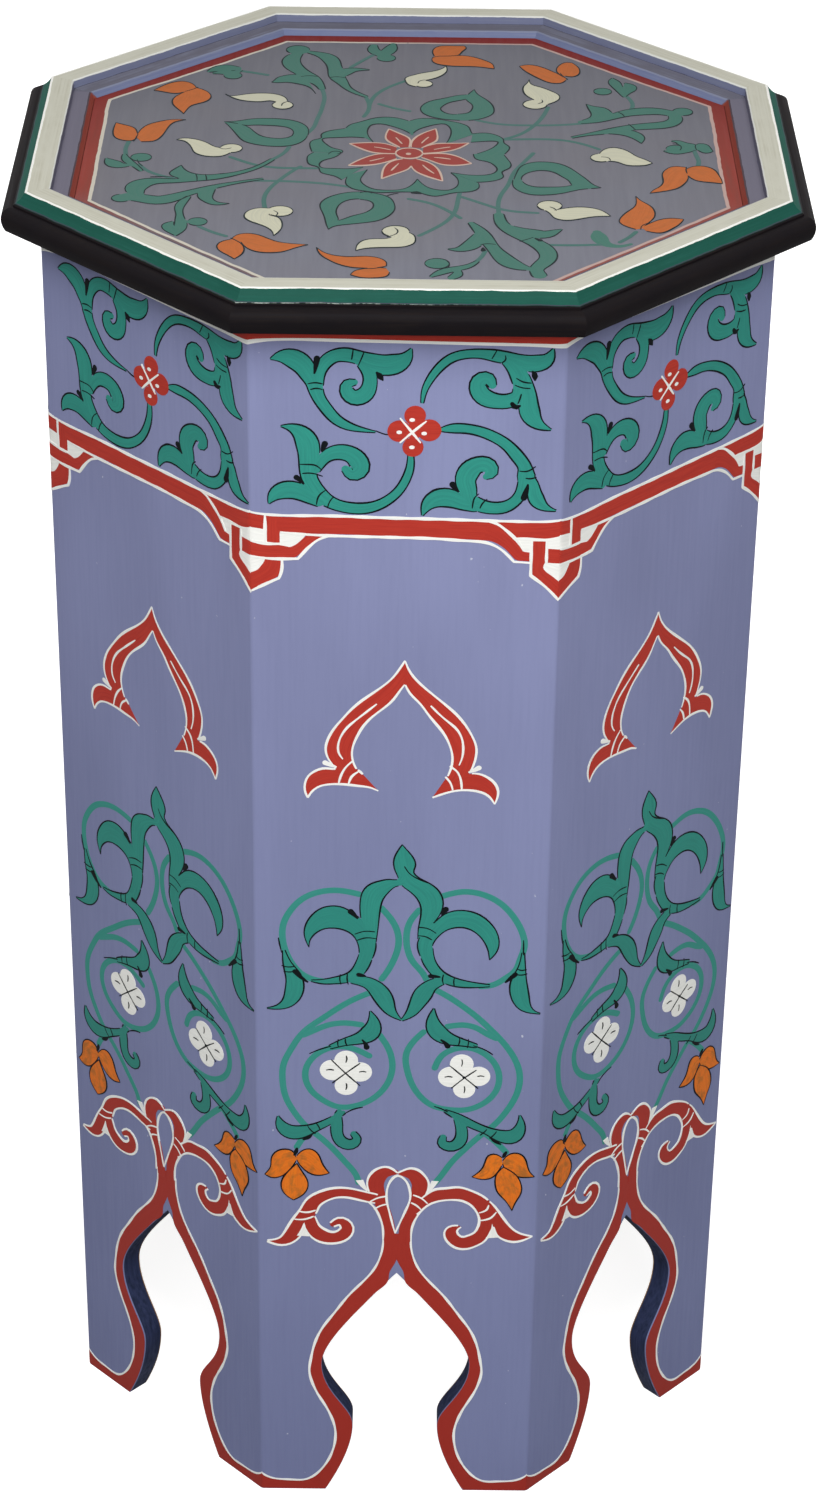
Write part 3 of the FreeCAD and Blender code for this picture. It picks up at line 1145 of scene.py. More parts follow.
# The red band under the frieze, with the strap knot that sits on each corner. Its left end lies
# higher than its right one by END_DROP.
RED_BAND = [
    Motif(Paint.WHITE, leaves=("-72,588.6 -46,586.6 | -72,577 -54,575 -46,583.4",
        "50,584.4 72,585 | 54,574.6 72,575", "-72,574 -63,573.6 | -72,562.4 -68,564.6 -63,570",
        "62.6,572.6 72,572.6 | 62.6,567 66,563.6 72,559.4")),
    Motif(Paint.RED, layer=1, leaves=(
        "-72,594.9 -66,593.7 -40,593.3 0,592.6 38,591.9 | -72,587.7 -65,586.5 -57.7,584.9 -46,584.4 0,583.4"
        " 30,582.3 38.5,581.8",
        "38,591.8 42,590.3 46,587.2 50,583.2 53,579.2 54.6,576.2 54.6,576.2 57.8,575.8 | 36,582.1"
        " 38.5,581.8 42,580.5 45,578.5 48,575.5 50,573 51.4,571.6 51.4,571.6 57.8,571.2",
        "38,591.7 55,591.3 66,591.7 72,592.2 | 50,583.5 60,583.4 68,583.5 72,585",
        "-63.7,594 -63.7,579.6 | -57.8,594 -57.8,579.6",
        "-72,580.2 -66,578.8 -57.5,578.2 -53,577.2 -53,577.2 -50,579 -47,582 -45,583.8 | -72,572.9"
        " -66,572.2 -50.3,572 -50.3,572 -46.5,576 -43,579.7 -40,582 -37.6,583.2",
        "-57.6,572.4 -58,564 -58.9,561.6 -58.9,561.6 -66,557.9 -72,554.4 | -64.6,572.4 -64.8,570.6"
        " -66.4,567.6 -68.4,565.2 -70.4,564.2 -72,563.6",
        "58.9,581.7 58.9,564.2 58.9,564.2 62,561.6 66,558 72,551.2 | 64.6,581.7 64.6,570.4 63.9,568.4"
        " 66,565.2 69,562.9 70.6,561.4 72,560.6", "66,577.9 72,577.5 | 66,570.6 72,570.2")),
    Motif(Paint.RED, Paint.WHITE, 1.65, layer=2,
        lines=(
        "-72,595.6 -69,594.9 -64,594.2 -40,593.8 -10,593.1 15,592.7 40,592.1 55,591.9 68,592.3 72,592.9",
        "-57.6,585.1 -46.5,584.1 -35,583.5 -15,583.1 0,582.9 18,582.3 30,581.5 37.5,580.7 41,579.3 45,576.6"
        " 48,573.6 50.4,570.9 50.4,570.9 58,570.4", "-72,580.7 -66,579.4 -57.6,578.9",
        "-72,572.5 -66,571.6 -49.4,571.3 -49.4,571.3 -46.6,574.9 -43,578.9 -39.5,581.6 -35.5,583.2",
        "-64.5,594 -64.5,588 -64.6,579.3", "-56.9,572 -57.3,563.8 -58.3,561 -58.3,561 -66,557.1 -72,553.7",
        "38,592 42,590.6 46,587.6 50,583.7 53,579.7 54.8,576.6", "50.6,583.1 60,582.7 67,582.7 72,584.2",
        "58.2,583 58.2,563.8 58.2,563.8 62,560.8 66,557.2 72,550.4", "65.3,582.6 65.3,570.4"))]

# The four scrolled leaf sprays round the red flower, under the moulding.
FRIEZE = [
    Motif(Paint.GREEN, Paint.BLACK, climb=FRIEZE_CLIMB, layer=0, strokes=(
        "-61.5,673.3,.5 -57,674.5,5.5 -52,673.8,9 -47,670.5,9.5 -44,665.5,8 -41.8,661,7 -41.5,660,7"
        " -40,655,6 -36.5,649,5.5 -32,643.5,5 -26.5,640,4 -21,638.3,2.5 -14,637,.8",
        "-39.5,661,4 -39,667,5 -36.5,672,6.2 -32,675,6.3 -27,675.3,6.8 -22,674,6.8 -17,671.8,9 -11,670.3,10"
        " -5,671,9.6 -.5,674,6 1.8,678.5,.8",
        "-20.5,670.5,4 -17,665.5,6 -16.8,660.5,6.6 -19,655.8,7.6 -23.5,654.2,7.4 -27,657.3,6.6"
        " -26.8,660.8,5 -23.6,661.8,3"),
        lines=("-24.3,678 -24.6,675.5 -25,673", "-19.5,676.5 -20.6,673.5 -22,670",
        "-44.7,661 -41.5,661.6 -38,661", "-43.5,658.2 -41,658.8 -38,658.2", "-14,637.6 -8.5,635.6"
        " -3,636.5"),
        touches=("-40.5,673.5,3 -41,670,2.2 -41.7,666,.8", "-13.6,666.5,1.2 -12,664.5,3 -11,663,1")),
    Motif(Paint.GREEN, Paint.BLACK, climb=FRIEZE_CLIMB, layer=1, strokes=(
        "-57,640,.6 -52.5,639.3,3.8 -48,636.5,8 -45,631.5,10.5 -44.3,625,9.5 -44.5,620,8.5 -44.3,615,7.5"
        " -42,609.5,7 -38.5,604.5,7 -34,601,6 -28,598.8,5.5 -21,598,5.5 -14,599.2,5 -8,602.5,4.5"
        " -3,607.5,4.2 0,613,4 1.8,619,3.6 2,626,2.6",
        "-40.5,618,3.5 -38.5,622,5 -35.5,625.3,6.3 -31,626.8,7.4 -26,626,8 -22,622.5,9 -21.5,618,9"
        " -24.5,616,7 -27.5,618,4",
        "-62.7,600.5,.6 -60.5,604.5,5.5 -56,607.3,8.5 -50.5,607.3,8.7 -45,604.8,7.5 -40,601.8,5.5"),
        lines=("-48.8,620.7 -45,620.6 -41,620 -38.3,617.5", "-47.3,616 -44,616.2 -41.5,615.8 -38,614.5",
        "-36.8,607.3 -39,605.5 -40,604 -40.8,600", "-32.8,604.3 -34.8,601.5 -35.8,598.3"),
        touches=("-37,631,3 -37.8,629,2.2 -38.5,627,.8", "-50,614,2.6 -48,612.4,2 -46.5,610.5,.8")),
    Motif(Paint.GREEN, Paint.BLACK, climb=FRIEZE_CLIMB, layer=0, strokes=(
        "7,652,1.5 7.7,657,2.5 10.2,663,3.4 14.5,669.2,4 20,673.8,4.3 27,675.7,4.3 34,675.7,4.8 41,674.5,6"
        " 47,673.2,6 52,671.5,7.5 57.5,671,8.2 62.5,672.8,6.5 65.3,678.3,.8",
        "44,673,5 46.5,670.5,6 50,665.5,8 52.5,660,8.5 54.6,655,7.5 55,649.5,9 56.5,644.5,8.5 60,640.5,5"
        " 65.5,638,.8",
        "51.5,663,5 51,661,6 50,655,6.5 46,652.5,7 41,652.3,7.3 35.5,654,8.3 32,658.5,8 33,663,7"
        " 36.5,663.5,6 38.3,660.5,4"),
        lines=("40,677.5 39,675.5 37.8,673.3", "43.8,675 44,673 42.3,671.3", "49,663.8 52,662 56,661.3",
        "48.5,660.3 52,659 55.5,658.7", "51.5,656 50.9,653.5 50,651"),
        touches=("56.3,667,1 57.3,665,3 57.4,663,1.2", "47.5,651,2 49,649.3,2.6 51,650,1")),
    Motif(Paint.GREEN, Paint.BLACK, climb=FRIEZE_CLIMB, layer=1, strokes=(
        "15,638,1.5 20,638.7,4.2 27,638.6,4.6 34,637,4.8 40,634.3,5 46,630,5.3 51,624,6 54.3,618,6.7"
        " 56,612,7.5 57.5,611,5.5 58.8,606,6.5 61,601,6.5 65,598,3 69,596.8,.7",
        "53.8,613,5 53.5,611,5 52.8,606.5,5.3 50,601.8,5.2 45.5,598.8,5.8 40,598.2,6 35,599.2,6.5"
        " 31.5,600.8,7", "7.8,594.8,1.2 10.5,600.5,6.5 15,603.3,9 20.5,603.2,9.2 26,600.8,7 31.5,599.8,7",
        "30.5,600,7 29,604,7 28.5,607,8 27.2,612,9.3 29.5,618,9.5 33.5,620.5,8 37.5,619.5,8 38.5,616,6"
        " 36.5,614.3,3"),
        lines=("33.5,605.5 31.5,603.5 31,602 30.5,598", "37.3,602.8 35.3,600.8 34,598",
        "51.5,617.2 55,617 59,619.5", "54.5,613.5 57,613.3 59.5,614", "9,604 12,607 16,608.3 20,608"),
        touches=("21.3,610.3,3 22.6,608.4,2.2 24,606.5,.8", "54,603.5,3 55,607,2.4 55.8,610.5,.8")),
    Motif(Paint.RED, climb=FRIEZE_CLIMB, layer=2, dots=
        "3.8,645.2,4.9 10.3,637.8,5.5 3,629.3,4.8 -3.3,637.4,5.4 3.4,637.6,4"),
    Motif(Paint.RED, Paint.WHITE, 1.25, climb=FRIEZE_CLIMB, layer=3,
        lines=("-3,644 1.5,638.2 6.5,631.5", "9,642.5 3.2,637.4 -3,631.5"),
        touches=("1.3,643,.9 2.5,643.1,1.9 3.7,643,.9", "6.8,636.2,.9 8,636.3,1.9 9.2,636.2,.9",
        "1.3,629.2,.9 2.5,629.3,1.9 3.7,629.2,.9", "-4.5,636.8,.9 -3.3,636.9,1.9 -2.1,636.8,.9"))]

# The small red onion arch in the middle of a board.
ONION_ARCH = [
    Motif(Paint.RED, Paint.WHITE, 1.25, climb=FRIEZE_CLIMB, leaves=(
        "0.6,517.5 -2,513 -5,508.5 -10,503.5 -15,499.5 -20,495.5 -25,490.5 -29,485.5 -33,480 -35.5,475"
        " -36.7,470 -36,465 -33.5,460.5 -31,457 | 1.2,505.5 -1.5,501.5 -5,496 -10,491 -15,486.5 -19,481.5"
        " -22,475.5 -24,469 -24,464 -22.5,459 -20,455 -16,450",
        "-45.3,441.8 -46.5,445 -46.7,449.5 -45,454 -41.5,457 -37.5,458.3 -33,458 -28,458.5 -23,458.5"
        " -19,455 | -45.3,441.8 -43.5,445 -40,448 -35,449.3 -28,449.3 -20,448.3 -15.5,447.5 -11.5,445.6",
        "0.6,517.5 2.5,512.5 7,506 13,500 20,493.5 25,488.5 29.5,482.5 33,476 35,470 34.8,464 33.5,459"
        " 31,453.5 | 0.4,505.5 3,500 8,494 12,488 16,482.5 20,476.5 22.5,470.5 23.7,465 23.3,459 21.5,453.5"
        " 18,446.5",
        "44.5,438 46,445 44.5,449.5 41,453 37,455 33,455.3 29,454.6 25,455 21,453 | 44.5,438 41,443"
        " 36,445.3 31,446 25,445.5 20,444 14.5,441.8"),
        lines=("-12.5,494 -17,490 -22,485.5 -26.5,481 -29.5,476 -30.8,471 -30.3,466.5 -28.5,463.5",
        "-23.7,462.5 -27,459 -29.5,454 -30.5,450", "-21,456.5 -24,454 -25.8,449.5",
        "13,493 16.5,489 21,484.5 25.5,480 28,475 28.8,469 28.3,464 27,460", "22.5,459.5 26,456.5 28,451.5"
        " 28.5,446.5", "20.5,453.5 22.8,450.5 24.2,446"),
        touches=("-37,461.5,2.6 -34,460,1.8 -31.5,459,.8", "36.5,458.5,2.6 33.8,457,1.8 31.5,456,.8"))]

# The thin green stems that curl behind the leaves, laid without an outline.
RINGS = [Motif(Paint.STEM, strokes=tuple(evenly(path, RING_WIDTH) for path in (
    "-20.5,386 -30,388 -40,387 -48,383 -54,376 -57.5,368 -58,360 -56.5,352 -53,344 -48,338 -42,335 -30,334",
    "20.5,385.5 30,388 40,386.5 48,382 55,374 59.5,365 61,356 59,348 57,342 52,337 46,333 40,332",
    "-9.5,378 -5,372 -1.5,364 -1,356 -3,348 -6,341 -9,336",
    "9,377 5,371 3,363 3.5,354 6.5,346 11,340 13,336",
    "-12.5,328.6 -18,326 -28,320 -38,312 -48,303 -54,293 -58,283 -58.5,273 -57,263 -53,254 -47,245 -40,238"
     " -32,229 -26,221 -21,213 -20,209",
    "-19,308 -28,309 -36,307.5 -44,303.5 -48,301.4",
    "-10,302 -6,295 -3.5,286 -4,277 -8,268 -15,261 -23,257.5 -30,257 -38,261 -44,267 -47,275 -46,283"
     " -42,289 -35,293.5 -28,294.5 -20,292 -15,289",
    "14.5,331.4 22,327 30,321 38,314 45,306.5 52,298 57,290 60.5,280 60,268 55,256 48,246 42,240 34,231"
     " 27,222 22,213.5 19,209",
    "24,307.5 32,308.5 38,307 44,303 48.4,300.6",
    "12,304 7,298 3.5,290 4,281 6.5,272 11,264 18,258 26,256 34,256 42,259.5 48,266 50.5,275 48,285"
     " 42,291.5 35,294.5 27,293.5 21,289 18,282",
    "-38,246 -47,239 -51.5,231.5",
    "43,242 50,235.5 55,229.5")))]

# The large green palmette with its crescent leaves, and the two side leaves.
PALMETTE = [
    Motif(Paint.GREEN, Paint.BLACK, layer=1, leaves=(
        "0.3,415 3,411.5 6,407 6.8,402.5 6,399.5 8,396.5 13,393.3 18,389 20.3,384 20.5,379 19.5,375.5"
        " 17,371 14,367 | 0.3,415 -3.8,405 -3,400 -1.5,396 0,392 3,389 7,385 9.5,380 9.8,374 8.7,366"
        " 8.5,360",
        "-1.2,397 -1.5,395 -5,394.8 -10,394 -15,392 -18.5,388 -19.8,383 -20,378 -19.5,372 -18,366 | 4,396"
        " 1.5,392 -2,391 -6,387.5 -8.8,383 -10,378 -10.7,371 -11.3,364 -12,358",
        "44,348 47.5,353 48.5,358.5 47,365 43,371 38,375 32,377 26,376.8 21,374.5 17.5,371 12,365 8.5,358"
        " 9.8,350 13.5,343 | 44,348 43.3,353 41,359 37,364 32,366.8 27,367 22,365 18.5,361.5 16,357"
        " 15.5,353 17,346 19.5,341.5",
        "-45,354.5 -47.3,362 -46.5,368 -43.5,373.5 -39,377.5 -33.5,379 -28,378 -23.5,375 -19,371 -13,362"
        " -12,356 -13.8,348 -17,341 | -45,354.5 -44.5,358.5 -42,362.5 -38,365.3 -33,366 -28,365 -24,362.5"
        " -21.5,358.5 -20.3,353 -21,347 -23,342"), strokes=(
        "-16.3,356,7 -17,350,7 -18.5,345,7 -23,338,6 -32,334.8,4 -39,334,2.5 -44,334.5,.8",
        "12.6,354,7 13.5,349,6.5 15.5,344,6 21,337.5,5.5 27,334.5,5 35,333,3.5 44,332.6,1.4",
        "-23,335.4,5 -15,333,7 -10.5,328.5,9 -7,322,8.5 -4,316,5 .5,311.5,1",
        "21,335.4,5 15,332,7 12,328,9 8.5,321,7.5 5.5,315.5,5 1.5,311.5,1.5"),
        lines=("1.5,402.5 4,398.5 8,395.5 13,393", "-22.5,362.5 -18,364.2 -12.5,364",
        "-21.5,358.8 -17,360.4 -12,360", "8.7,367 13.5,366.2 17.5,363.5", "8.5,362 12.5,361.4 15.5,359.5",
        "-29.5,338.4 -29.8,335.5 -29.2,332.4", "-26,339 -26.2,336 -25.6,332.4", "21.5,339 21,336 21.6,333",
        "27,337.4 26.6,335 27,331.8"),
        touches=("-24.5,375.8,3 -22.8,374,2.2 -21,371.6,.8", "22,377.7,3 21,376,2.2 20,374,.8",
        "-20.5,338.4,2.4 -18.5,337.9,1.8 -17,337.5,.8", "15,338,2.4 17.5,337.8,1.8 20,337.5,.8")),
    Motif(Paint.GREEN, Paint.BLACK, layer=1, strokes=(
        "-57.3,352,1.5 -55.5,344,4.5 -52.5,336,8 -52.5,328,9 -56,321,6 -62,318,2 -66,317.7,.5",),
        lines=("-60,360 -59.4,356 -58.4,351", "-58.6,343.4 -55.5,342.6 -52,343",
        "-57.6,340 -54.5,339.6 -51,340.4"),
        touches=("-52,340,2.6 -49,336.5,2 -45.5,333.5,.8",)),
    Motif(Paint.GREEN, Paint.BLACK, layer=1, strokes=(
        "60.5,352,1.5 60,343,4 58.8,335,8 59.5,327,9 62.5,320,6 66.5,317,2 70,316,.5",),
        lines=("60.5,360 60.6,356 60.6,351", "57.8,342.8 60,342 62.5,342.6", "57,339.6 60,339.2 62.9,340"),
        touches=("57,339.5,2.6 54.5,337,2 52,334.5,.8",))]

# The leaves, curls and white flowers in the lower rings, and the orange lilies.
FLOWERS = [
    Motif(layer=1, strokes=(
        "-14.5,316,1 -13,310,6 -14.5,303.5,9.5 -20,299.7,7 -27,297.5,4.5 -34,294.5,2.6",),
        lines=("-34,294.8 -40,292.6 -45,290", "-30.5,299 -30.8,297 -30.5,294.6",
        "-27,299.5 -26.9,297.4 -26,295"),
        touches=("-18.6,299,.8 -17,296.6,1.8 -16.3,294.4,3",), **RING_LEAF),
    Motif(layer=1, strokes=("17,318,1 16.5,312,5.5 18.5,305,9 24,300.3,7.5 31,298,4.5 38,296,2.6",),
        lines=("37,296 43,293.4 47,290.5", "30,301 30.2,298.6 29.5,296", "34.5,300 34.6,297.4 34,294.5"),
        touches=("20.6,299.6,.8 22.6,297.8,1.8 24.2,295.6,3",), **RING_LEAF),
    Motif(Paint.WHITE, layer=1, dots=
        "-26.5,286,6 -19.5,279,6 -26.5,270.4,5.8 -33.5,280,6.3 -26.5,278.5,4 31.5,284.5,6 40,277,6"
        " 33,269,5.6 26,276.5,6.3 33,276.8,4"),
    Motif(Paint.WHITE, Paint.BLACK, 0.8, layer=2,
        lines=("-34,286.5 -27,278.4 -19.5,270.5", "-19.5,284.5 -26.3,278.6 -33.5,272",
        "25.5,283.5 32.6,276.6 40,269.5", "39,281 33,276 26.5,269.5", "-26.5,289 -26.2,287 -26.7,284.8",
        "-26.5,272 -26.2,270 -26.7,267.8", "-36.6,280 -34.6,280.4 -32.6,280", "-20,279 -18.2,279.4"
        " -16.4,279", "31.5,287.4 31.8,285.4 31.4,283.2", "33,270.8 33.3,268.8 32.9,266.6",
        "23,276.4 25,276.8 27,276.4", "39.4,277 41.2,277.4 43,277"),
        touches=("32,276.2,.9 32.9,276.3,1.6 33.8,276.2,.9",)),
    Motif(layer=1, strokes=(
        "-61,251,.8 -59.5,245.5,5.5 -54.5,241,8.3 -48.5,241.3,7.5 -42,244,5 -35,248,4 -28,253.5,2.4",
        "-30,254,3 -31,250,5 -31.2,246.5,6 -31,240,6 -28,234.5,6.5 -23.5,233.7,6.2 -21,237,4.5"
        " -22.5,240,3.6"),
        lines=("-46,245 -44.6,242.5 -42,240", "-41.5,246.5 -40.4,244.6 -39.6,242.4",
        "-27,253 -22,256 -18,257"),
        touches=("-43.6,240,.8 -45.4,237.6,1.8 -48.6,236.2,.8",), **RING_LEAF),
    Motif(layer=1, strokes=(
        "61.5,253,.8 62,246,5 58,239.5,8.5 51.5,240,7 45,243,4.5 38,246.5,4.5 30,251.5,4 24,255,2",
        "29,252,3 31,248,5 32.3,241.5,6 31,235.5,6.5 26.5,232.8,6 22.5,235,5 22.8,238.5,3.6"),
        lines=("45,243.9 43.4,241.8 41.5,240", "50,242.6 48.4,240.2 46.5,238", "25,254.6 22,256.4 18,258"),
        touches=("46.6,239,.8 49.4,236.2,1.8 52.4,234.4,.8",), **RING_LEAF),
    Motif(Paint.ORANGE, Paint.BLACK, 0.75, layer=2, leaves=(
        "-68,214 -65,219 -64.5,224.5 -62,228.5 -58,230 -54,229 -52,225 | -68,214 -65,212 -60,212.5 -56,216"
        " -53,220.5 -51.5,224",
        "-35,215 -38.5,221 -41,227.5 -45,230.3 -49,229 -51.5,226 | -35,215 -40,213.5 -44.5,214.5 -48.5,218"
        " -51,222 -52,225",
        "53,226 50,228 46.5,227.5 44.5,223 42.5,218 38,213.5 | 53.5,222 51,216.5 48,213 43,212 38,213.5",
        "53.5,224 56,227.5 60,229 63.5,227.5 66,222 67.5,217 70,214 | 53.5,222 54.5,219.5 58,215.5 64,213.5"
        " 70,214"),
        touches=("-53,226,.8 -52,228.4,2.2 -51.4,231,.9", "53.4,226,.8 54.4,228,2 55.4,230,.9")),
    Motif(Paint.ORANGE, Paint.BLACK, 0.75, layer=3, leaves=(
        "-53.5,197.5 -57.5,201 -59.5,205 -59,211 -56,216 -51.5,221 | -53.5,197.5 -48.5,201 -46,206"
        " -46.5,211 -49,216 -51.5,221",
        "59,192 55,199 51.5,203.5 50,209 50.5,215 54,220 | 59,192 61,198 63.5,204 63,210 60.5,215 54,220"))]

# The red strapwork over the arch: crossing tails, scrolled leaves and a teardrop.
STRAPWORK = [
    Motif(Paint.RED, layer=3, strokes=(
        "-3.6,172,6.5 -4.2,180,6.2 -6,188,6.5 -8,195,6.5 -11,203,9 -11,210,8.5 -7,215.5,7 -1.2,216,3",
        "3.8,172,6.5 4.4,180,6.2 6.6,188,6.5 8.6,195,6.5 11.4,203,9 11.4,209,8.5 7.6,214.6,7 1.8,215.4,3")),
    Motif(Paint.WHITE, layer=3, leaves=(
        "-47.8,184.5 -49.6,180 -51.6,177 -54,174.4 | -47.8,184.5 -47,179.6 -45.4,176.4 -43,173.6",
        "49,185.6 48.4,180 47,176.6 44.6,173.6 | 49,185.6 50,180 51.6,177 53.6,174.4",
        "-21.4,210.4 -19,206.8 -15.6,203.4 | -17.6,210.8 -16.6,207.8 -15.2,204",
        "21,210.4 19,207 15.6,202.4 | 17.4,210.6 16.4,207.6 15,203")),
    Motif(Paint.RED, Paint.WHITE, 1.3, layer=3, leaves=(
        "70,175.2 66,173 61,171.5 56,172.5 52,175.5 50.5,179 49,185 | 70,175.2 62,178 57,183.5 53,190"
        " 49,196 44,201",
        "12,199 14.5,201.5 19,205 25,206 31,206.7 38,204.5 44,201 49,195 50.5,186 48,177 45.5,172 41,168.5"
        " 36,166.5 31,167 27,170 24.5,175 25,179 28,181.5 31.5,181.8 | 10,189 13,192 16,195 21,197.5"
        " 27,198.5 33,198 38,195 41,190.5 42.3,186 41.5,180.5 39.5,177 36,175 33.5,174.5 32.2,175.4"
        " 31.4,176.6 31,178 31.6,179.6 33,180.8"), strokes=(
        "-12,199,6 -18,200.5,6 -25,202.3,6 -32,202.3,6.3 -38.5,199.8,7 -43.5,195.5,8 -46,190,8.5"
        " -50.5,183,8 -54,175.5,8.5 -59.5,170.5,5.5 -66.5,170.5,1",
        "-46.5,189,5 -45.3,186,6 -43.5,179.5,7.5 -39,174.5,8.5 -33,173,7.5 -27.5,175.5,7.5 -26,180.5,6.5"
        " -29.5,183.8,5 -33,182,3.4")),
    Motif(Paint.RED, Paint.WHITE, 1.35, layer=4,
        lines=(
        "-1,176.5 -2.5,183 -4,190 -5.5,198 -5.3,205 -3.5,210.5 0,213.8 3.5,211.5 6,206 6.5,199 4.5,192"
        " 2,185 -1,176.5",
        "-14.6,203.4 -15.6,208 -15,212.4 -12.6,216.4 -9,218.8 -5.5,219.3 -2,217.5 0,215.6",
        "0,215.6 3,217.3 6,218.5 10,217.8 13.5,214.5 15.8,210 15.8,205.6 14.6,202",
        "-7.2,172 -7.4,180 -9.4,188 -12.2,193.6 -15.4,197", "7.3,172 7.7,180 10,187 13,192 15.6,195")),
    Motif(Paint.RED, Paint.WHITE, 1.1, layer=4,
        lines=("-51,190.3 -46.5,189.6 -42,191", "-53,185 -48,185 -43,187", "-14.5,196.5 -10,199.4"
        " -5.5,200.5", "-12,192 -8.4,194.4 -5,195.5", "8,201.5 12,199.6 15.5,196",
        "7,196.5 10,194.6 12.5,191.5", "42,190.3 46,192.5 47,195.5", "42.5,185.3 48,187 51,191"))]

# The thin stems that join the tray's sprays, laid first.
TRAY_STEMS = [Motif(Paint.STEM, strokes=tuple(evenly(path, TRAY_STEM_WIDTH) for path in (
    "-44,82 -42.5,70 -43,60 -44,50 -45.5,40 -47,30 -50,22",
    "-22,72 -20,60 -21,50 -22.5,45",
    "-1,95 -8,88 -14,80 -18,71 -20,60",
    "-15,62 -8,57 0,53",
    "69,60 66,48 60,33 52,22 45,17",
    "33,42 45,37 60,36 75,37 88,40",
    "45,17 60,18 75,17 85,12 92,6",
    "60,0 55,-12 50,-25 47,-40 44,-50 42,-62 42,-74",
    "0,-58 10,-63 17,-70 24,-80",
    "24,-50 23,-60 21,-75 17,-85 10,-95 5,-101",
    "25,-55 35,-63 45,-70 60,-73",
    "-22,-47 -35,-42 -50,-39 -65,-38 -76,-38",
    "-60,-22 -50,-22 -44,-22",
    "-67,-72 -68,-60 -66,-48 -62,-38 -57,-28 -52,-20",
    "-86,-9 -80,-14 -70,-20 -60,-22",
    "-66,-12 -60,-2 -58,5",
    "108,78 111,68 110,58 107,52",
    "-129,-20 -125,-27 -118,-33 -112,-36",
    "-136,-10 -137,0 -136,9",
    "65,-110 76,-110 88,-109",
    "97,-106 101,-101 105,-94",
    "35,-118 33,-125 30,-131",
    "-97,-93 -91,-99 -84,-104",
    "138,7 138.9,-1.3 139.5,-7.5 138.9,-13",
    "-30,112 -22,125 -18,131",
    "-72,100 -82,104 -88,106")))]

# The green ring of eight scallops round it.
TRAY_RING = [
    Motif(Paint.GREEN, Paint.BLACK, 0.7, layer=1, leaves=(
        "2,37.4 -5,43 -12,44.5 -19,42 -24,38 -29,34 -31,30 | 2,21 -3,28 -9,33 -14,35.5 -18,34.5 -20,30"
        " -20.5,25 -19.5,18 -17.5,12",
        "-29,30 -34,28 -40,25 -43,20 -43,16 -46,14 -48,5 -47,-1 | -19,16.5 -28,18 -36,17 -42,15.5 -40,8"
        " -36,3 -32,0 -33,-3",
        "-46,-2 -48.5,-6 -49,-12 -47,-18 -44,-20 -42,-27 -36,-31 -32,-36 | -33,-3 -36,-8 -41,-12 -43,-17"
        " -42,-21 -37,-22 -28,-22 -22,-20",
        "-29,-30 -30,-36 -29.5,-42 -26,-47 -20,-49.5 -14,-51 -5,-50 3.5,-50 | -20,-23 -22,-30 -23,-36"
        " -21,-42 -17,-46.5 -10,-48 -3,-46.5 1,-42 4,-34",
        "3,-49 7,-52 12,-54.5 18,-52 22,-50 30,-48 33,-44 33,-38 | 4,-34 6,-39 9,-44 14,-47 19,-47 22.5,-43"
        " 23.5,-38 22.5,-31 20,-26",
        "32,-37 36,-36.5 42,-34 45,-30 44.5,-24 47.5,-20 49,-15 48,-10 45.5,-1.5 | 20,-25.5 27,-28 34,-28.5"
        " 39,-27 42,-22.5 41,-16 37,-11 33,-9 31,-2",
        "45,-4 48,3 48.5,8 46,13 46,16 43,22 38,25 31,24 | 31,-3 38,3 42,9 43,14 37,14.5 30,13",
        "31,23 30,28 29,33 25,37.5 20,40 12,43 5,43 -2,37.4 | 18,11 20,20 20.5,27 19.5,33 17,36.5 14,36"
        " 9,33 4,28 1,21"),
        lines=("-39,-4.5 -36,-.5 -33,-1.6 -34.6,-4", "-23,-51.6 -20,-50 -17.4,-52",
        "-11,-55.4 -8,-52.8 -5,-51.4"),
        touches=("1,-51,.9 3.5,-50.4,3 6,-51.6,.9",))]

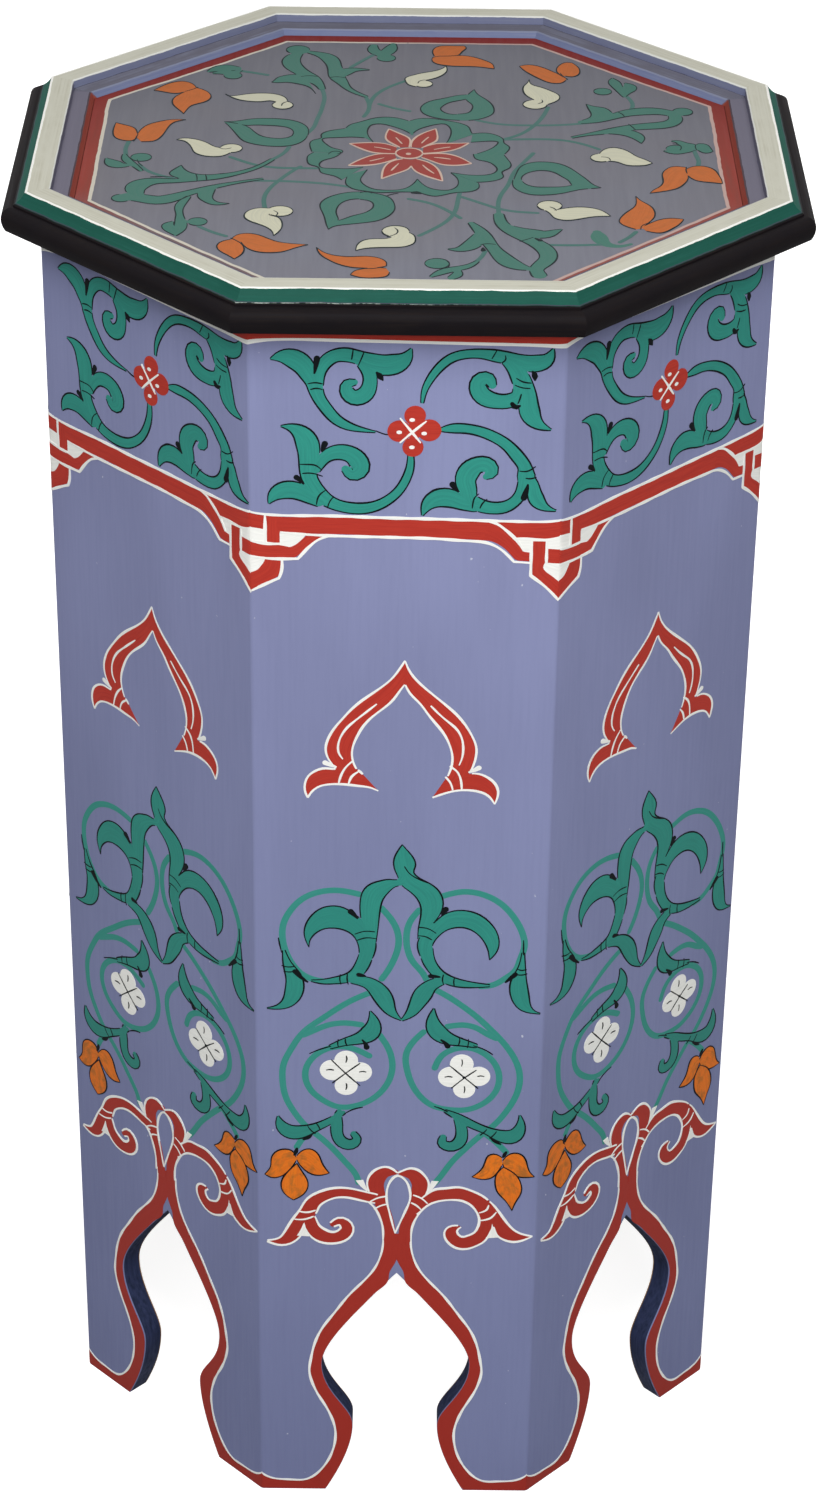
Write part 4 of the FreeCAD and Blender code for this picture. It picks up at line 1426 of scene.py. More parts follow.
# The tray's four hollow green teardrops, each in two halves.
TRAY_DROPS = [Motif(leaves=halves, **TRAY_LEAF) for halves in (
    ("32.5,83 34,77 38,70 41,63 42,56 41,50 38,46 33,42.5 26,41.4 | 32.5,83 29,75 28.4,69 31,63 31,56"
     " 29,51.5 24,49.6",
     "32.5,83 31,77 25,75 18,71 11,67 7,62 5.5,56 7,50 12,45 20,42 28,41.4 | 32.5,83 32.6,76 29,70.4 20,65"
     " 17,61 15.5,56 17,52 20,49.5 26,49.8"),
    ("91,-42 88,-39 85,-33 81,-25 77,-18 72,-13 66,-11 60,-11.5 55,-15 51.6,-24 49.4,-36 | 91,-42 83,-43"
     " 78.4,-41 76,-34 73,-29 69,-23.5 64,-21.5 59,-23 55,-27 53.5,-33 54.4,-37",
     "91,-42 88,-42.6 80,-45 73,-49 65,-51.5 57,-51 52,-47 49.6,-42 49.4,-34 | 91,-42 84,-38 77.6,-39.4"
     " 74,-41 66,-42 59,-41.5 55,-38 53.6,-34"),
    ("-37,-95 -38,-90 -39,-82 -40.5,-74 -41.5,-66 -39,-59 -34,-54 -28,-51 -19,-50.6 | -37,-95 -35,-88"
     " -33.2,-85.6 -33.5,-78 -33.5,-70 -31,-63 -27,-59.5 -21,-58.8",
     "-37,-95 -35,-92 -28,-89 -21,-87 -14,-84 -9,-78 -6.5,-70 -7,-63 -9,-57 -20,-50.4 | -37,-95 -34.6,-86.4"
     " -31,-83.5 -26,-79 -21.5,-76 -18,-72 -16.5,-66 -18,-61.5 -23,-59.2"),
    ("-91,36 -85,37 -78,40 -71,41 -63,40.5 -57,38.5 -52,34 -49.5,28 -49.4,20 | -91,36 -84,33.6 -79.6,31.6"
     " -77,32 -70,32 -63,31 -58.5,28.5 -56.6,24 -56.6,20",
     "-91,36 -90,34 -87,27 -84,19 -80,11 -74,7 -66,5 -58,6 -53,10 -50,17 -49.4,24 | -91,36 -82,32.4"
     " -79.4,30 -76,24 -72,18 -67,15.5 -61,15.5 -57.4,18.4 -56.6,22"))]

# The tray's red flower of eight petals.
TRAY_FLOWER = [
    Motif(Paint.RED, Paint.WHITE, 1.0, layer=1, leaves=(
        "-10,29 -11.5,20 -11,15 -8,10 -4.5,5.5 | -10,29 -4,22.5 0,17 .5,12 0,6",
        "13,30 6,23 2.5,17 1,11 1,6 | 13,30 13.8,20 13,14 10,10 6,5",
        "29,12 20,11.3 13,10.5 7,6 | 29,12 24,5 19,1.5 12,-1 6.5,-2",
        "30,-14 28,-11 24,-6 19,-2.5 7,-3 | 30,-14 22,-16.5 15,-15 11,-11.5 6,-7",
        "16,-36 14.5,-24 12,-17 8,-12 3.5,-9 | 16,-36 8,-30 3,-24 1,-17 1,-10",
        "-13,-34 -12.5,-24 -11,-17 -8,-12 -3,-9 | -13,-34 -5,-26.5 0,-21 1.2,-15 1,-10",
        "-29,-18 -24,-11 -19,-6 -15,-3.5 -7,-3 | -29,-18 -20,-17.5 -12,-14 -6,-9",
        "-29,9.5 -18,11 -12,10 -6,5.5 | -29,9.5 -22,2 -18,-1 -12,-2.5 -6.5,-2.5"),
        lines=("-6.5,18 -5,14 -3.5,10", "9.5,19 7.6,15 6,11", "20,6.5 16,5 12,3", "20,-9 16,-7.6 12,-7",
        "6.5,-16.5 9,-22 12,-27", "-5,-15 -6.6,-19 -8.5,-24", "-12,-8 -15.6,-10.4 -19,-12.5",
        "-17,5.5 -13,4 -9,2")),
    Motif(Paint.RED, Paint.WHITE, 1.0, layer=2, dots="0,-2,6.5"),
    Motif(Paint.WHITE, layer=3, dots="-.3,-3,1.3")]

# The four green palmettes between the teardrops.
TRAY_PALMETTES = [
    Motif(strokes=("-57,131,5 -60,124,8.5 -60.3,117,9.5 -58,110,9 -54,103,8 -50,96,9 -46.5,90,6 -44,82,3.5",
        "-52,133,3 -48,131,5 -43,127,8 -40,121,8.5 -38.5,114,7.5 -37.5,106,8 -36.5,98,8 -34,91,6 -31.5,84,4"
        " -27,77,3 -22,72,2.4", "-35.5,100,6 -33,105,8 -28,108.5,5 -21,108.7,1"), leaves=(
        "-69.5,90 -68.5,92 -67,96 -63,99.5 -58,101 -53,100 | -69.5,90 -68,89.5 -62,90 -56,88 -52,85.5"
        " -49,81 -47,75",), dots="-57.5,136,6",
        lines=("-55,98 -51,99.4 -46.6,98.4", "-40.6,97 -37,98.4 -32.6,97"), **TRAY_LEAF),
    Motif(strokes=("85,41,4 92,43,5 100,48,6 108,53.5,8 116,56,9 124,56,8 129,54,7",
        "130.6,54,5 131,52,6 131.5,46,7 128,40,8 120,37,8 111,35,7 103,32,6 95,28,5 88,25,3 80,21,2"),
        leaves=("88,65 89,58 90,52 89,47 85,43 83,41 | 88,65 92,62 97,60 100,55 101,51 99,45",
        "113,14 115,21 113,27 108,31 100,31 96,29 | 113,14 110,19 105,24 98,26 90,25 84,22"), dots=
        "135.6,56,5",
        lines=("103.6,54.6 105.6,51.4 106.4,48.4", "108,39 109.4,35.4 111,31.6"), **TRAY_LEAF),
    Motif(strokes=("29,-86,3 33,-95,6 36,-105,7 39,-115,6.5 42.5,-124,8.5 47,-132,9 53,-136.5,5 57,-138,1",
        "33,-98,5 31,-106,8 27.5,-113,8 22,-116.5,4 18,-116,.6",
        "42,-76,5 43,-85,6 47,-94,7 53,-102,7 59,-109,8 63,-117,8.5 63.5,-125,8 60.5,-132,7.5 58,-138,6.5"
        " 59,-144,7", "46,-90,5 51,-93.5,6 57,-97,9 63,-98,8 68,-94.5,4 71,-92,.6"),
        lines=("33,-110.6 36.6,-109.6 40,-110.4", "51,-106.4 54.6,-104 57.4,-101.6"),
        touches=("34,-114,.8 34.2,-117,2.6", "58,-102.6,.8 60.4,-105,2.6"), **TRAY_LEAF),
    Motif(strokes=(
        "-128,-56,7 -129,-49,10 -126,-43,10 -120,-40,7 -112,-39.5,5 -103,-37.5,5 -95,-35,6 -88,-32.5,5"
        " -80,-28,3.5 -73,-22,3 -66,-12,2.5",
        "-132,-59,8 -125,-61,9 -118,-63,9.5 -111,-60,8.5 -105,-55,6 -98,-50,5 -90,-45,4 -80,-40,2.5"
        " -70,-36,2"), leaves=(
        "-109,-20 -112,-25 -114,-31 -111,-35 -106,-38 | -109,-20 -106,-27 -102,-30.5 -95,-31.5 -88,-29.5",
        "-84,-66 -87,-67.5 -92,-67.5 -96,-64 -99,-59 -99,-53 -96,-48 | -84,-66 -90,-64 -92,-60 -92,-55"
        " -91,-47"), dots="-135,-61,4.5",
        lines=("-123,-35 -117,-34.4 -112,-35", "-101.5,-31 -100.8,-34.4 -100.5,-39",
        "-97,-31 -96.4,-34 -96,-38"), **TRAY_LEAF)]

# The small three-lobed leaves beside the rim.
TRAY_TREFOILS = [
    Motif(strokes=("-18.6,143,4 -18.8,138,6 -17,133,6 -14,128.5,4",
        "-8.6,145.6,3 -9.6,140,6.5 -11.6,134,7 -13.6,129,4.5"), dots="-12,125.6,4.8", **TREFOIL),
    Motif(strokes=("-101.5,104,2.5 -98,107,7 -93,109,8.5 -88,108.6,5",
        "-99,101.6,2 -94.5,102.6,5 -90,102.6,5.5 -86,105.6,2.5"), dots="-89.4,98.6,4.6", **TREFOIL),
    Motif(strokes=("102.7,100.6,1 103,97,5 104,92,6 105.3,86,4.5 106.6,80,3 107.6,76,2.2",
        "109,94,1 110.6,90.5,6 110.6,86,7 109,81.5,4.5 108,77,2"), dots="97,82.3,4.5", **TREFOIL),
    Motif(strokes=("138.6,11,5 135.1,12.2,6 133.2,13.8,5 131,16.6,3.4 128.4,17.4,1.4",
        "138.4,9.2,5 134.7,6.4,6 131.8,4.2,5 129,3.2,4.6 126,3.6,3 123.8,4.8,1.2"), leaves=(
        "138.6,8.4 141.4,14.6 144.2,14 146.2,9.9 147.3,5 | 138.6,8.4 140.4,5.6 142.8,2.8 145.4,3 147.3,5",),
        dots="129.2,7.4,4.6",
        lines=("128.2,14 130.8,13.2 132.1,8.8 131.2,5.6", "139.4,13 139,9.6 139.6,6"), **TREFOIL),
    Motif(strokes=("-145.3,-13,1.5 -143,-17,6.5 -139.5,-20.5,7.5 -135.5,-21,4 -133,-20,2",
        "-137,-8,2.2 -135.6,-14,4.4 -132,-20,3.6 -128,-27,2.2"), dots="-128.8,-10.8,5",
        lines=("-130.6,-13.5 -129.6,-17.5 -127.3,-22",), **TREFOIL),
    Motif(strokes=("-103.6,-59,2.5 -106.2,-66,4.4 -107.2,-73,4 -106.6,-79,3.4 -106,-85,4.6 -105.3,-91,5.8"
        " -105.8,-98,5 -107,-104,1.2",
        "-109.3,-88.5,1.5 -111,-92,5.5 -110.6,-96,5.5 -108.4,-100.6,3.5 -107.2,-103.4,1.5",
        "-104,-87,1.6 -101,-88.4,3 -99,-89,3"), dots="-97.8,-87.8,4.5", **TREFOIL),
    Motif(strokes=("31,-130,2.2 26.5,-135.5,4 20.5,-138.5,5 15,-142,5 10.6,-146.6,2",
        "22.5,-140.5,3 22,-144.5,5 19.6,-148,4"), dots="13,-132.4,5.6",
        lines=("17.4,-129.6 18.6,-133 17.6,-137.6",), **TREFOIL),
    Motif(Paint.GREEN, strokes=(
        "87,-94.6,4 87.5,-99,7.5 88.5,-104,7.5 91.5,-109,5 97,-110.5,3 102,-108,2",))]

# The tray's eight cream commas: each one's leaf, its round head and its curl.
TRAY_COMMAS = [Motif(leaves=(leaf,), dots=dot, lines=(line,), **COMMA) for leaf, dot, line in (
    ("18.5,115 17,112 11,107 5,104 1,101 -2,98 -2,93 0,88 3,86 | 18.5,115 19,110 17,103 14,99 10,96 8,95"
     " 6,94", "7,90,4.6", "8,95.4 5,93.4 4.2,90.4"),
    ("60.5,97.5 59.5,93 57.5,88 57,83 58,77 60,73 62,70 63,67 | 60.5,97.5 62,90 66,87 71,82 74.5,77 75,72"
     " 73,68 69,64", "62.5,63.5,6", "66,70 66.2,66.4 64,64.4"),
    ("117,-11 114,-7 110,-3 107,2 103,6.5 99,8 95,6 92,0 | 117,-11 114,-13.5 109,-14.5 104,-13.5 100,-10"
     " 96,-9", "92.5,-5,5", "97,-8.4 96,-5 92.6,-4"),
    ("94,-76 92.5,-73 90,-69.5 85,-66.5 78,-66 72,-68 68,-70 | 94,-76 86,-77 79,-80 73,-81.5 68,-79 66,-74"
     " 63,-69", "66,-64.5,5.8", "66,-66 67.8,-67.6 69,-70.5"),
    ("-24,-119 -23.5,-113 -20,-107 -15,-105.5 -10,-105 -8,-103.5 -8,-100 | -24,-119 -21,-117 -15,-115.5"
     " -8,-115 -2,-114 2.4,-110 3.2,-105 2,-100 -1,-97", "-6,-96.5,6.3", "-6.5,-92.5 -5,-96 -6,-100"
     " -10,-103"),
    ("-62,-103 -63,-98 -67,-92 -72,-88 -76,-83 -76,-77 -72,-72 -68,-71 -64,-72 | -62,-103 -60,-99 -58.5,-92"
     " -59,-86 -62,-81 -65,-79 -64,-77", "-60,-74.5,6", "-63,-74 -61,-77 -62,-80.5"),
    ("-113,12 -111,13.5 -106,13.5 -101,11 -97,7 -94,3.5 -89,1.5 | -113,12 -110,11 -107,7 -105,1 -103.5,-4"
     " -99,-8 -95,-9 -90,-8 -86.4,-4", "-86,1.8,5.3", "-92.4,3 -89.6,.6 -86,2"),
    ("-92,73 -90,70.5 -84,72 -78,74 -72,74.5 -67,73.5 -63,70.5 -61,66 -61,61 | -92,73 -88,68 -84,65"
     " -79,63.5 -73,63.5 -69,64.5 -66.5,63", "-63,58.8,5.2", "-63.5,57.6 -63,61 -60,64"))]

# The eight pairs of orange leaves next to the rim, each with the line between them.
TRAY_LEAVES = [Motif(leaves=(one, two), lines=(line,), **ORANGE_PAIR) for one, two, line in (
    ("28,144 22,144 15,143 12,138 12,132 13,128 | 28,144 29,142 27,136 25,131 20,129",
     "43,112 40,113 35,114.5 28,115 20,115.5 14,118 11.5,122 12,128 | 43,112 42,119 38,124 33,128 28,130"
     " 20,129", "11.6,126.6 14,128.4 20,129.2 26,131"),
    ("56,116 60,118 66,116 71,111 75,106 77,103 79,100 | 56,116 57,113 60,107 64,101 68,96 72,93 76,93"
     " 79,97",
     "83,121.5 80,122 77,119 75,114 75,108 77,103.4 | 83,121.5 86,115 86.5,109 85,104 82,102 79,103",
     "76.4,107 77.6,103 80,98.4"),
    ("114,-48 116,-44 119,-40 121,-33 121,-25 123,-19 127,-15 133,-16 | 114,-48 122,-45 127,-42 131,-36"
     " 133,-30 133,-22",
     "149,-35.5 149,-32 148,-25 146,-18 142,-14.5 136,-15 133,-18 | 149,-35.5 143,-34 137,-32 134,-28"
     " 132.6,-23", "133.2,-15.4 132.7,-19 133,-23.6"),
    ("107,-52 107,-57 106,-64 102,-71 99,-77 98,-83 101,-88 105,-91 | 107,-52 109,-57 113,-63 115,-71"
     " 114,-78 111,-84 108,-90",
     "128,-79 125,-78 118,-79 113,-83 108,-89 | 128,-79 126,-84 122,-90 116,-95 110,-93",
     "107.4,-91 108,-87.6 112,-83"),
    ("-42,-116 -38,-122 -33,-125 -26,-126 -18,-125.5 -13,-127.5 -10,-132 -10,-136 | -42,-116 -40,-124"
     " -36,-130 -31,-135 -25,-138 -19,-138.5 -14,-138 -11,-136.6",
     "-26,-146 -24,-141.6 -20,-139.4 -13,-138 -10,-138.6 | -26,-146 -22,-148.6 -14,-149 -9.6,-147"
     " -8.5,-143", "-9.8,-135.6 -13,-138 -20,-139.2"),
    ("-79,-130 -82,-126 -86,-121 -87.5,-115 -85,-110 -80,-107.6 | -79,-130 -76,-125 -75,-118 -77,-112"
     " -79,-109",
     "-46,-113 -54,-112 -60,-110 -65,-106 -70,-102 -75,-101 -79,-103 -81,-107 | -46,-113 -52,-117 -57,-121"
     " -63,-122.5 -70,-121 -74,-117 -76.6,-111", "-81.6,-106.4 -79.4,-108.8 -76.8,-112.4"),
    ("-144,33 -144.5,27 -144.5,20 -143,14 -139,10.5 -135,10 -132.6,13 | -144,33 -139,30 -135,27 -133,22"
     " -132.4,17",
     "-110,38 -116,38 -123,35 -128,31 -131,25 -133,15 | -110,38 -115,35 -117.5,30 -119,23 -121,15 -124,10"
     " -130,9", "-132.2,19 -132.8,14 -133.8,9.4"),
    ("-128,77 -124,83 -119,88 -114,89.5 -109,86 -107,81 | -128,77 -122,74.5 -117,73 -112,75.5",
     "-111.5,46 -110,52 -108,57 -103,61 -99.5,66 -99.5,72 -103,78 -108,81.6 | -111.5,46 -114,51 -117,57"
     " -118,63 -117,68 -114,73 -110,78", "-106.2,81.8 -108.4,79 -112.4,75.6"))]


@dataclass
class FacePattern:
    """The arabesque of one board: frieze, red band, onion arch, palmette, rings and strapwork.

    The top strip, the red band and the foot's band meet their neighbours' at the board's corners,
    and the rest stays inside the board.
    """

    boards: SideBoards
    reach: float = 72.0
    wander: float = 0.3
    own_shift: tuple = (3, 0.8)
    foot_top: float = 146.0
    foot_gap: float = 0.2
    foot_every: int = 3
    shifts: dict = field(default_factory=lambda: {1: (0.0, 0.0), 2: (-3.5, 0.0), 8: (2.0, 1.2)})
    # The leaf green and the strap red darken to their foot colours towards the floor: painted shade.
    pots: dict = field(default_factory=lambda: {
        Paint.STEM: BrushPaint("ring_green", (48, 138, 124), (60, 140, 131)),
        Paint.GREEN: BrushPaint("leaf_green", (48, 145, 130), (42, 126, 116), foot=(42, 118, 108)),
        Paint.ORANGE: BrushPaint("flower_orange", (228, 120, 28), (208, 102, 30), (140, 94, 42), 0.7),
        Paint.RED: BrushPaint("strap_red", (184, 56, 43), (164, 46, 37), foot=(154, 44, 34)),
        Paint.WHITE: BrushPaint("line_white", (244, 244, 239), (228, 229, 224)),
        Paint.BLACK: BrushPaint("outline_black", (12, 15, 18), (20, 26, 28), gloss=0.06)})

    def build(self, rng: np.random.Generator) -> None:
        """Paint the eight boards, each by the same hand and each a little different.

        The bands that meet at the corners stay steady. The red band falls by END_DROP along the
        front board and rises back by the same step on each of the others.

        Args:
            rng: draws the hand's drift, the friezes' shifts and each stroke's own number.
        """
        finishes = {paint: finish.mix() for paint, finish in self.pots.items()}
        rise = END_DROP / (SIDES - 1)
        for side in range(1, SIDES + 1):
            hand = Brushwork(board_face(side, self.boards.apothem), rng,
                             wander=0.0 if side == 1 else self.wander)
            for motif in TOP_STRIP + self.foot():
                hand.steady(motif)
            if side > 1:
                hand.shift = (0.0, (rise * (2 * side - 3) - END_DROP) / 2)
                hand.tilt = (rise + END_DROP) / (2 * self.boards.apothem * MITRE)
            for motif in RED_BAND:
                hand.steady(motif)
            hand.tilt = 0.0
            far = np.array(self.own_shift)
            hand.shift = self.shifts.get(side, tuple(rng.uniform(-far, far)))
            for motif in FRIEZE:
                hand.paint(motif)
            hand.shift = (0.0, 0.0)
            for motif in ONION_ARCH + RINGS + PALMETTE + FLOWERS + STRAPWORK:
                hand.paint(motif)
            hand.pieces(str(side), finishes, self.boards)

    def foot(self) -> list:
        """Return the red band that follows the arch and the floor, inside its white line."""
        arch = self.boards.arch()[::-1]
        arch = arch[arch[:, 1] < self.foot_top][::self.foot_every]
        line = ("7.2,175 7.3,168 8.3,162 11,154 16,146 24,136 33,122 39,112 43,101 45,90 45.6,84"
                " 44.3,76 41,67 37,59 33.5,50 31.8,42 32,34 34,25 38.5,15.5 41,12")
        motifs = []
        for hand in (-1, 1):
            spine = rows_of("-0.6,176 -0.6,166 -0.5,161 0.9,156.6 2.4,153.4 3.6,150.6") * [hand, 1]
            inner = np.vstack([spine, (arch + [self.foot_gap, 0]) * [hand, 1]])
            outer = rows_of(line + " 44,9 46.6,6.8") * [hand, 1]
            motifs.append(Motif(Paint.RED, layer=1, leaves=((outer, inner),)))
            floor = f"36.9,.3 44,.3 52,.3 60,.3 66,.3 {self.reach},.3"
            rim = f"41,12.4 44.4,8.6 48,6.8 56,6.6 66,7.8 {self.reach},11.6"
            motifs.append(Motif(Paint.RED, layer=1, leaves=(
                (rows_of(rim) * [hand, 1], rows_of(floor) * [hand, 1]),)))
            edge = rows_of(line + f" 44,9 48,6.8 56,6.6 64,7.2 68,8.6 {self.reach},11.6") * [hand, 1]
            motifs.append(Motif(Paint.RED, Paint.WHITE, 1.5, layer=2, lines=(edge,)))
        return motifs


@dataclass
class TrayPattern:
    """The tray's painted field: a red flower, a scalloped ring, and sprays that grow out of it."""

    level: float = 702.0
    pots: dict = field(default_factory=lambda: {
        Paint.STEM: BrushPaint("tray_stem_green", (70, 110, 102), (84, 114, 112), gloss=0.04),
        Paint.GREEN: BrushPaint("tray_leaf_green", (70, 116, 104), (80, 118, 108), gloss=0.04),
        Paint.ORANGE: BrushPaint("tray_orange", (194, 110, 62), (180, 102, 58), (156, 98, 60), 0.3,
                                 gloss=0.03),
        Paint.RED: BrushPaint("tray_flower_red", (154, 66, 60), (144, 72, 68), gloss=0.04),
        Paint.CREAM: BrushPaint("tray_cream", (206, 204, 180), (190, 190, 172), gloss=0.04),
        Paint.WHITE: BrushPaint("tray_pale_line", (206, 182, 166), (190, 164, 152), gloss=0.04),
        Paint.BLACK: BrushPaint("tray_dark_line", (26, 34, 36), (40, 50, 52), gloss=0.04)})

    def build(self, rng: np.random.Generator) -> None:
        """Paint the field.

        Args:
            rng: draws each stroke's own number.
        """
        finishes = {paint: finish.mix() for paint, finish in self.pots.items()}
        hand = Brushwork(Plane((0.0, 0.0, self.level), (1.0, 0.0, 0.0), (0.0, 1.0, 0.0)), rng)
        for motif in (TRAY_STEMS + TRAY_RING + TRAY_DROPS + TRAY_FLOWER + TRAY_PALMETTES
                      + TRAY_TREFOILS + TRAY_COMMAS + TRAY_LEAVES):
            hand.paint(motif)
        hand.pieces("tray", finishes)


@dataclass
class RimMoulding:
    """The eight lengths of moulding: a black nose, a green slope, a cream crown and a ledge.

    Each corner of the section is (distance from the table's axis, height).
    """

    widest: tuple = (190.0, 698.5)
    tuck: tuple = (188.1, 692.0)
    nose_end: tuple = (184.1, 703.3)
    slope_foot: tuple = (184.1, 704.3)
    crown_outer: tuple = (178.6, 710.0)
    crown_inner: tuple = (167.3, 710.0)
    step_foot: tuple = (167.3, 705.6)
    ledge_end: tuple = (159.5, 705.0)
    riser_head: tuple = (158.5, 704.0)
    riser_foot: tuple = (157.0, 702.0)
    rabbet_inner: tuple = (157.0, 697.3)
    rabbet_outer: tuple = (166.8, 697.3)
    heel: tuple = (166.8, 692.0)
    cove_depth: float = 0.6
    crown_round: float = 0.7
    arris_round: float = 1.0
    crisp_past: float = 32.0

    def round_to(self, start: tuple, end: tuple, rows: int = 12) -> Points:
        """Draw an arc that leaves the widest place upright and ends at another point.

        Its centre lies level with the widest place, r = (da^2 + dz^2) / (2 da) away from it.

        Args:
            start: the widest place.
            end: the other point.
            rows: how many points it gets.

        Returns:
            The points, from start to end.
        """
        start, end = np.array(start), np.array(end)
        away = start - end
        radius = (away ** 2).sum() / (2 * away[0])
        sweep = math.asin(min(1.0, abs(away[1]) / radius))
        if abs(away[0]) > radius:
            sweep = math.pi - sweep
        turn = np.linspace(0, sweep, rows)
        return np.stack([start[0] - radius * (1 - np.cos(turn)),
                         start[1] + np.sign(end[1] - start[1]) * radius * np.sin(turn)], axis=1)

    def section(self) -> Points:
        """Draw the section.

        The slope is a hollow, straight but for a bow of depth 4 d t (1 - t). The crown's inner
        corner and the ledge's arris are turned by small quarter curves.

        Returns:
            Its corners, from the heel round and back.
        """
        t = np.linspace(0, 1, 12)[:, None]
        foot, head = np.array(self.slope_foot), np.array(self.crown_outer)
        slope = foot + (head - foot) * t
        lean = (head - foot)[::-1] * [1, -1] / np.linalg.norm(head - foot)
        slope = slope - lean * 4 * self.cove_depth * t * (1 - t) * np.sign(lean[0])
        nose = [self.round_to(self.widest, self.tuck)[::-1],
                self.round_to(self.widest, self.nose_end)[1:]]
        quarter = np.radians(np.linspace(0, 90, 5))[:, None]
        arris = np.hstack([self.riser_head[0] + self.arris_round * (1 - np.sin(quarter)),
                           self.ledge_end[1] - self.arris_round * (1 - np.cos(quarter))])
        inner = np.hstack([self.crown_inner[0] + self.crown_round * (1 - np.sin(quarter)),
                           self.crown_inner[1] - self.crown_round * (1 - np.cos(quarter))])
        aside = np.array([self.crown_round, 0])
        crown = np.linspace(head - aside, self.crown_inner + aside, 5)
        ledge = np.linspace(self.step_foot, self.ledge_end, 7)
        return np.vstack([self.heel, *nose, slope, crown, inner[1:], ledge[:-1], arris,
                          self.riser_foot, self.rabbet_inner, self.rabbet_outer])

    def bands(self, section: Points) -> tuple:
        """Measure how far round the section each place lies.

        Args:
            section: its corners.

        Returns:
            The girth at each corner, and the name and the start of each band of paint, as a share
            of the whole girth. A band starts so many millimetres before or past a corner.
        """
        girth = np.append(0, np.cumsum(np.linalg.norm(np.diff(section, axis=0), axis=1)))
        quirk, crown, brink, step, ledge = (
            girth[np.linalg.norm(section - np.array(corner), axis=1).argmin()]
            for corner in (self.slope_foot, self.crown_outer, self.crown_inner, self.step_foot,
                           self.ledge_end))
        # The bright and lip bands are painted highlights along the crown's edges, the arris band a painted
        # highlight on the ledge.
        starts = [("black", 0), ("bead", quirk + 0.5), ("shadow", quirk + 0.95),
                  ("green", quirk + 1.2), ("bright", crown - 0.6), ("cream", crown + 0.7),
                  ("lip", brink - 0.75), ("step", brink + 0.2), ("shadow", step - 0.3),
                  ("ledge", step + 0.3), ("arris", ledge - 0.1), ("riser", ledge + 0.8)]
        return girth, tuple((name, start / girth[-1]) for name, start in starts)

    def build(self, rng: np.random.Generator, rows: int = 40) -> None:
        """Make the eight lengths: u = s a tan(22.5 degrees), s from -1 to 1, at each corner's a.

        Args:
            rng: draws each length's own number for its paint.
            rows: how many sections lie along a length.
        """
        section = self.section()
        girth, bands = self.bands(section)
        material = BandPaint(bands=bands, girth=float(girth[-1])).mix()
        u = np.linspace(-1, 1, rows)[:, None] * section[:, 0] * MITRE
        points = np.stack([u, np.broadcast_to(section[:, 1], u.shape),
                           np.broadcast_to(section[:, 0], u.shape)], axis=2).reshape(-1, 3)
        index = numbered(rows, len(section))
        faces = between(index, turned=True).reshape(-1, 4).tolist()
        faces += [index[0].tolist(), index[-1, ::-1].tolist()]
        for side in range(1, SIDES + 1):
            tag = rng.uniform(0, 1)
            brush = np.stack([points[:, 0] * MM, np.tile(girth, rows) * MM,
                              np.full(len(points), tag)], axis=1)
            piece = new_piece(f"moulding_{side}", board_face(side, 0.0).place(points), faces,
                              material, brush=brush, sharp=self.crisp_past)
            face_outwards(piece.data)
            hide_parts(f"rim_moulding_{side}")


@dataclass
class PlainParts:
    """The parts that keep the frame's own shape: the tray board, and the battens, the cleats and
    the screws inside."""

    tray: TrayPaint = TrayPaint()
    wood: BareWood = BareWood()
    steel: ScrewSteel = ScrewSteel()

    def dress(self) -> None:
        """Give each node its finish."""
        wood, steel, tray = self.wood.mix(), self.steel.mix(), self.tray.mix()
        for name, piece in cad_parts.items():
            material = steel if "screw" in name else tray if name == "tray_board" else wood
            if not piece.material_slots:
                piece.data.materials.append(material)
            for slot in piece.material_slots:
                slot.material = material


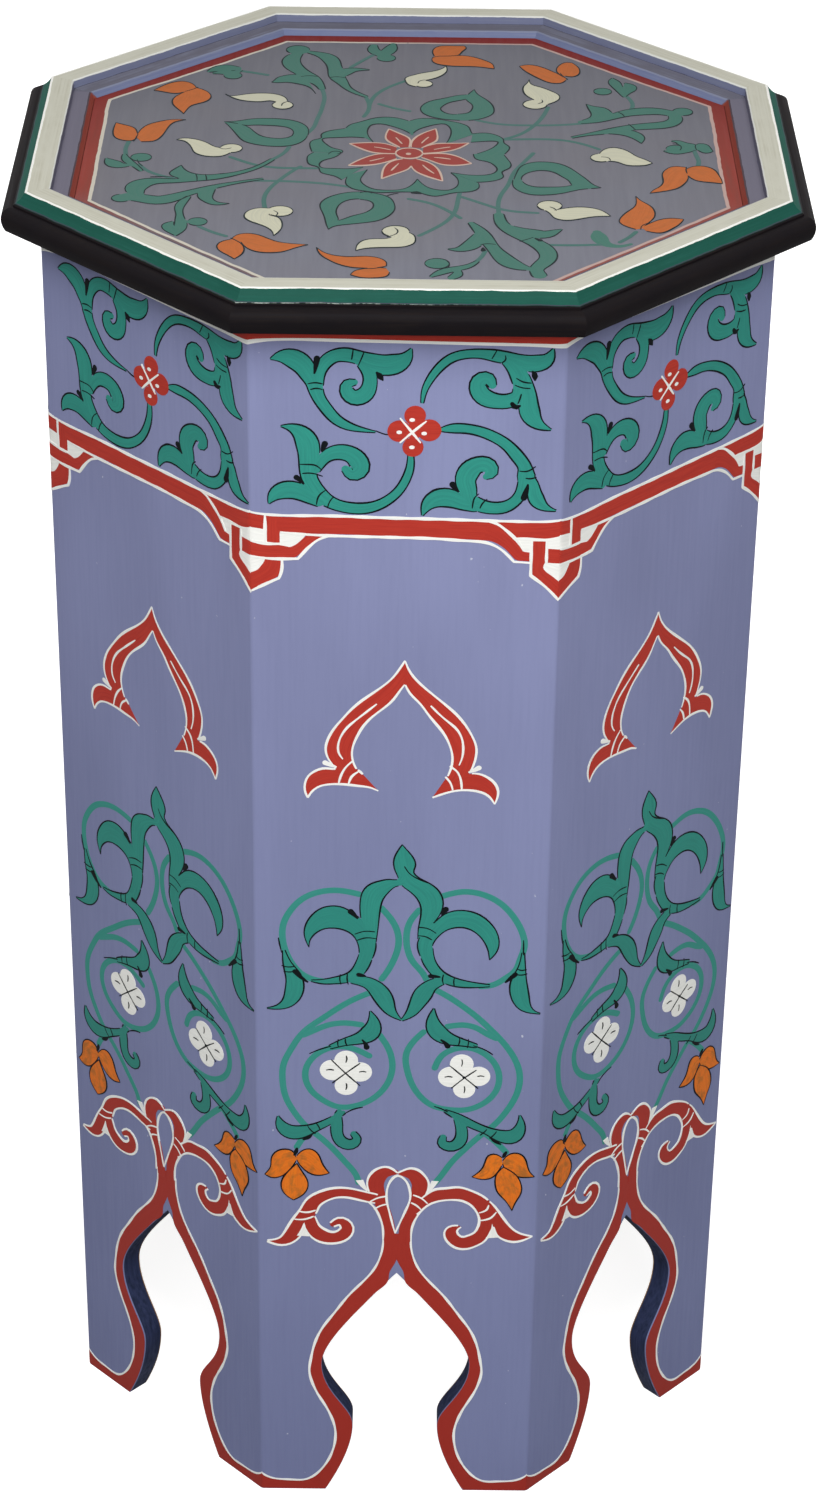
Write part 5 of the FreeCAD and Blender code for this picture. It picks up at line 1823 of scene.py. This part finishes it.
@dataclass
class Studio:
    """A pale floor, faint light all round, a large lamp in front and two behind, and the camera."""

    floor_reach: float = 6.0
    floor_rings: int = 24
    floor_spokes: int = 48
    floor_colour: tuple = (0.54, 0.54, 0.54, 1.0)
    floor_dim: float = 0.985
    floor_lift: float = 0.86
    sky: float = 0.04
    key_power: float = 73.5
    key_place: tuple = (0.03, -1.75, 2.18)
    key_size: float = 1.8
    back_power: float = 28.0
    back_place: tuple = (1.3, 1.7, 0.8)
    back_size: float = 1.0
    lamps_aim: tuple = (0.0, 0.0, 0.4)
    eye: tuple = (-3.1, -1684.6, 1386.0)
    aim: tuple = (4.2, 0.0, 363.9)
    roll: float = 0.01309
    lens: float = 89.133
    film_width: float = 36.0

    def floor(self) -> None:
        """Lay the floor, a wide flat disc of rings (r cos a, r sin a)."""
        turn = np.linspace(0, 2 * math.pi, self.floor_spokes + 1)[:-1]
        reach = np.linspace(0, self.floor_reach, self.floor_rings + 1)[1:, None]
        rows = np.stack([reach * np.cos(turn), reach * np.sin(turn), 0 * reach * turn], axis=2)
        points = np.vstack([[0, 0, 0], rows.reshape(-1, 3)])
        index = numbered(self.floor_rings, self.floor_spokes, 1)
        quads = between(index, turned=True).reshape(-1, 4)
        middle = np.stack([np.zeros(self.floor_spokes, int), index[0], np.roll(index[0], -1)], axis=1)
        mesh = bpy.data.meshes.new("floor")
        mesh.from_pydata(points, [], middle.tolist() + quads.tolist())
        floor = bpy.data.objects.new("floor", mesh)
        bpy.context.scene.collection.objects.link(floor)
        new = Recipe("pale_floor", 0.9, gloss=0.1)
        seen = new.add("LightPath", {}).outputs["Is Camera Ray"]
        new.shader.inputs["Emission Color"].default_value = PURE_WHITE
        new.tree.links.new(new.sum("MULTIPLY", seen, self.floor_lift),
                           new.shader.inputs["Emission Strength"])
        dim = tuple(value * self.floor_dim for value in self.floor_colour[:3]) + (1.0,)
        grit = new.share(new.noise((3, 3, 3), 2.0), 0.3, 0.7)
        mesh.materials.append(new.finish(new.mix(grit, self.floor_colour, dim)))

    def sky_light(self) -> None:
        """Light all round: the sky's strength for the object, and plain white where it is seen."""
        world = bpy.context.scene.world or bpy.data.worlds.new("studio")
        bpy.context.scene.world = world
        world.use_nodes = True
        new = Nodes(world.node_tree)
        new.tree.nodes.clear()
        path = new.add("LightPath", {}).outputs
        seen = new.sum("MAXIMUM", path["Is Camera Ray"], path["Is Glossy Ray"])
        seen = new.sum("MAXIMUM", seen, path["Is Transmission Ray"])
        strength = new.add("MapRange", {0: seen, 3: self.sky, 4: 1.0}).outputs[0]
        light = new.add("Background", {0: PURE_WHITE, 1: strength}).outputs[0]
        new.add("OutputWorld", {0: light})

    def lamp(self, name: str, place: tuple, power: float, size: float) -> bpy.types.Object:
        """Hang a square soft lamp that faces the middle of the table.

        Args:
            name: its name.
            place: where it hangs, in metres.
            power: its watts.
            size: the length of its side, in metres.

        Returns:
            The lamp.
        """
        light = bpy.data.lights.new(name, "AREA")
        light.energy, light.size = power, size
        lamp = bpy.data.objects.new(name, light)
        bpy.context.scene.collection.objects.link(lamp)
        lamp.location = place
        lamp.rotation_euler = (Vector(self.lamps_aim) - Vector(place)).to_track_quat("-Z", "Y").to_euler()
        return lamp

    def camera(self) -> None:
        """Set the camera where the photograph's stood, with its small roll."""
        camera = bpy.data.cameras.new("camera")
        camera.lens = self.lens
        camera.sensor_width = self.film_width
        eye = Vector(self.eye) * MM
        ahead = (Vector(self.aim) * MM - eye).normalized()
        right = ahead.cross(Vector((0, 0, 1))).normalized()
        up = right.cross(ahead)
        tilted = right * math.cos(self.roll) + up * math.sin(self.roll)
        upright = up * math.cos(self.roll) - right * math.sin(self.roll)
        seat = bpy.data.objects.new("camera", camera)
        bpy.context.scene.collection.objects.link(seat)
        turn = Matrix((tilted, upright, -ahead)).transposed().to_4x4()
        seat.matrix_world = Matrix.Translation(eye) @ turn
        bpy.context.scene.camera = seat

    def build(self) -> None:
        """Set the stage."""
        self.floor()
        self.sky_light()
        self.lamp("front_lamp", self.key_place, self.key_power, self.key_size)
        for name, hand in (("back_left_lamp", -1), ("back_right_lamp", 1)):
            place = (hand * self.back_place[0], *self.back_place[1:])
            self.lamp(name, place, self.back_power, self.back_size).visible_glossy = False
        self.camera()
        bpy.context.scene.view_settings.view_transform = "Standard"


def main() -> None:
    """Build the table on its frame, part by part, and set the stage."""
    logging.basicConfig(level=logging.INFO, format="%(message)s")
    rng = np.random.default_rng(SEED)
    PlainParts().dress()
    boards = SideBoards()
    boards.build()
    RimMoulding().build(rng)
    FacePattern(boards).build(rng)
    TrayPattern().build(rng)
    Studio().build()


if __name__ == "__main__":
    main()
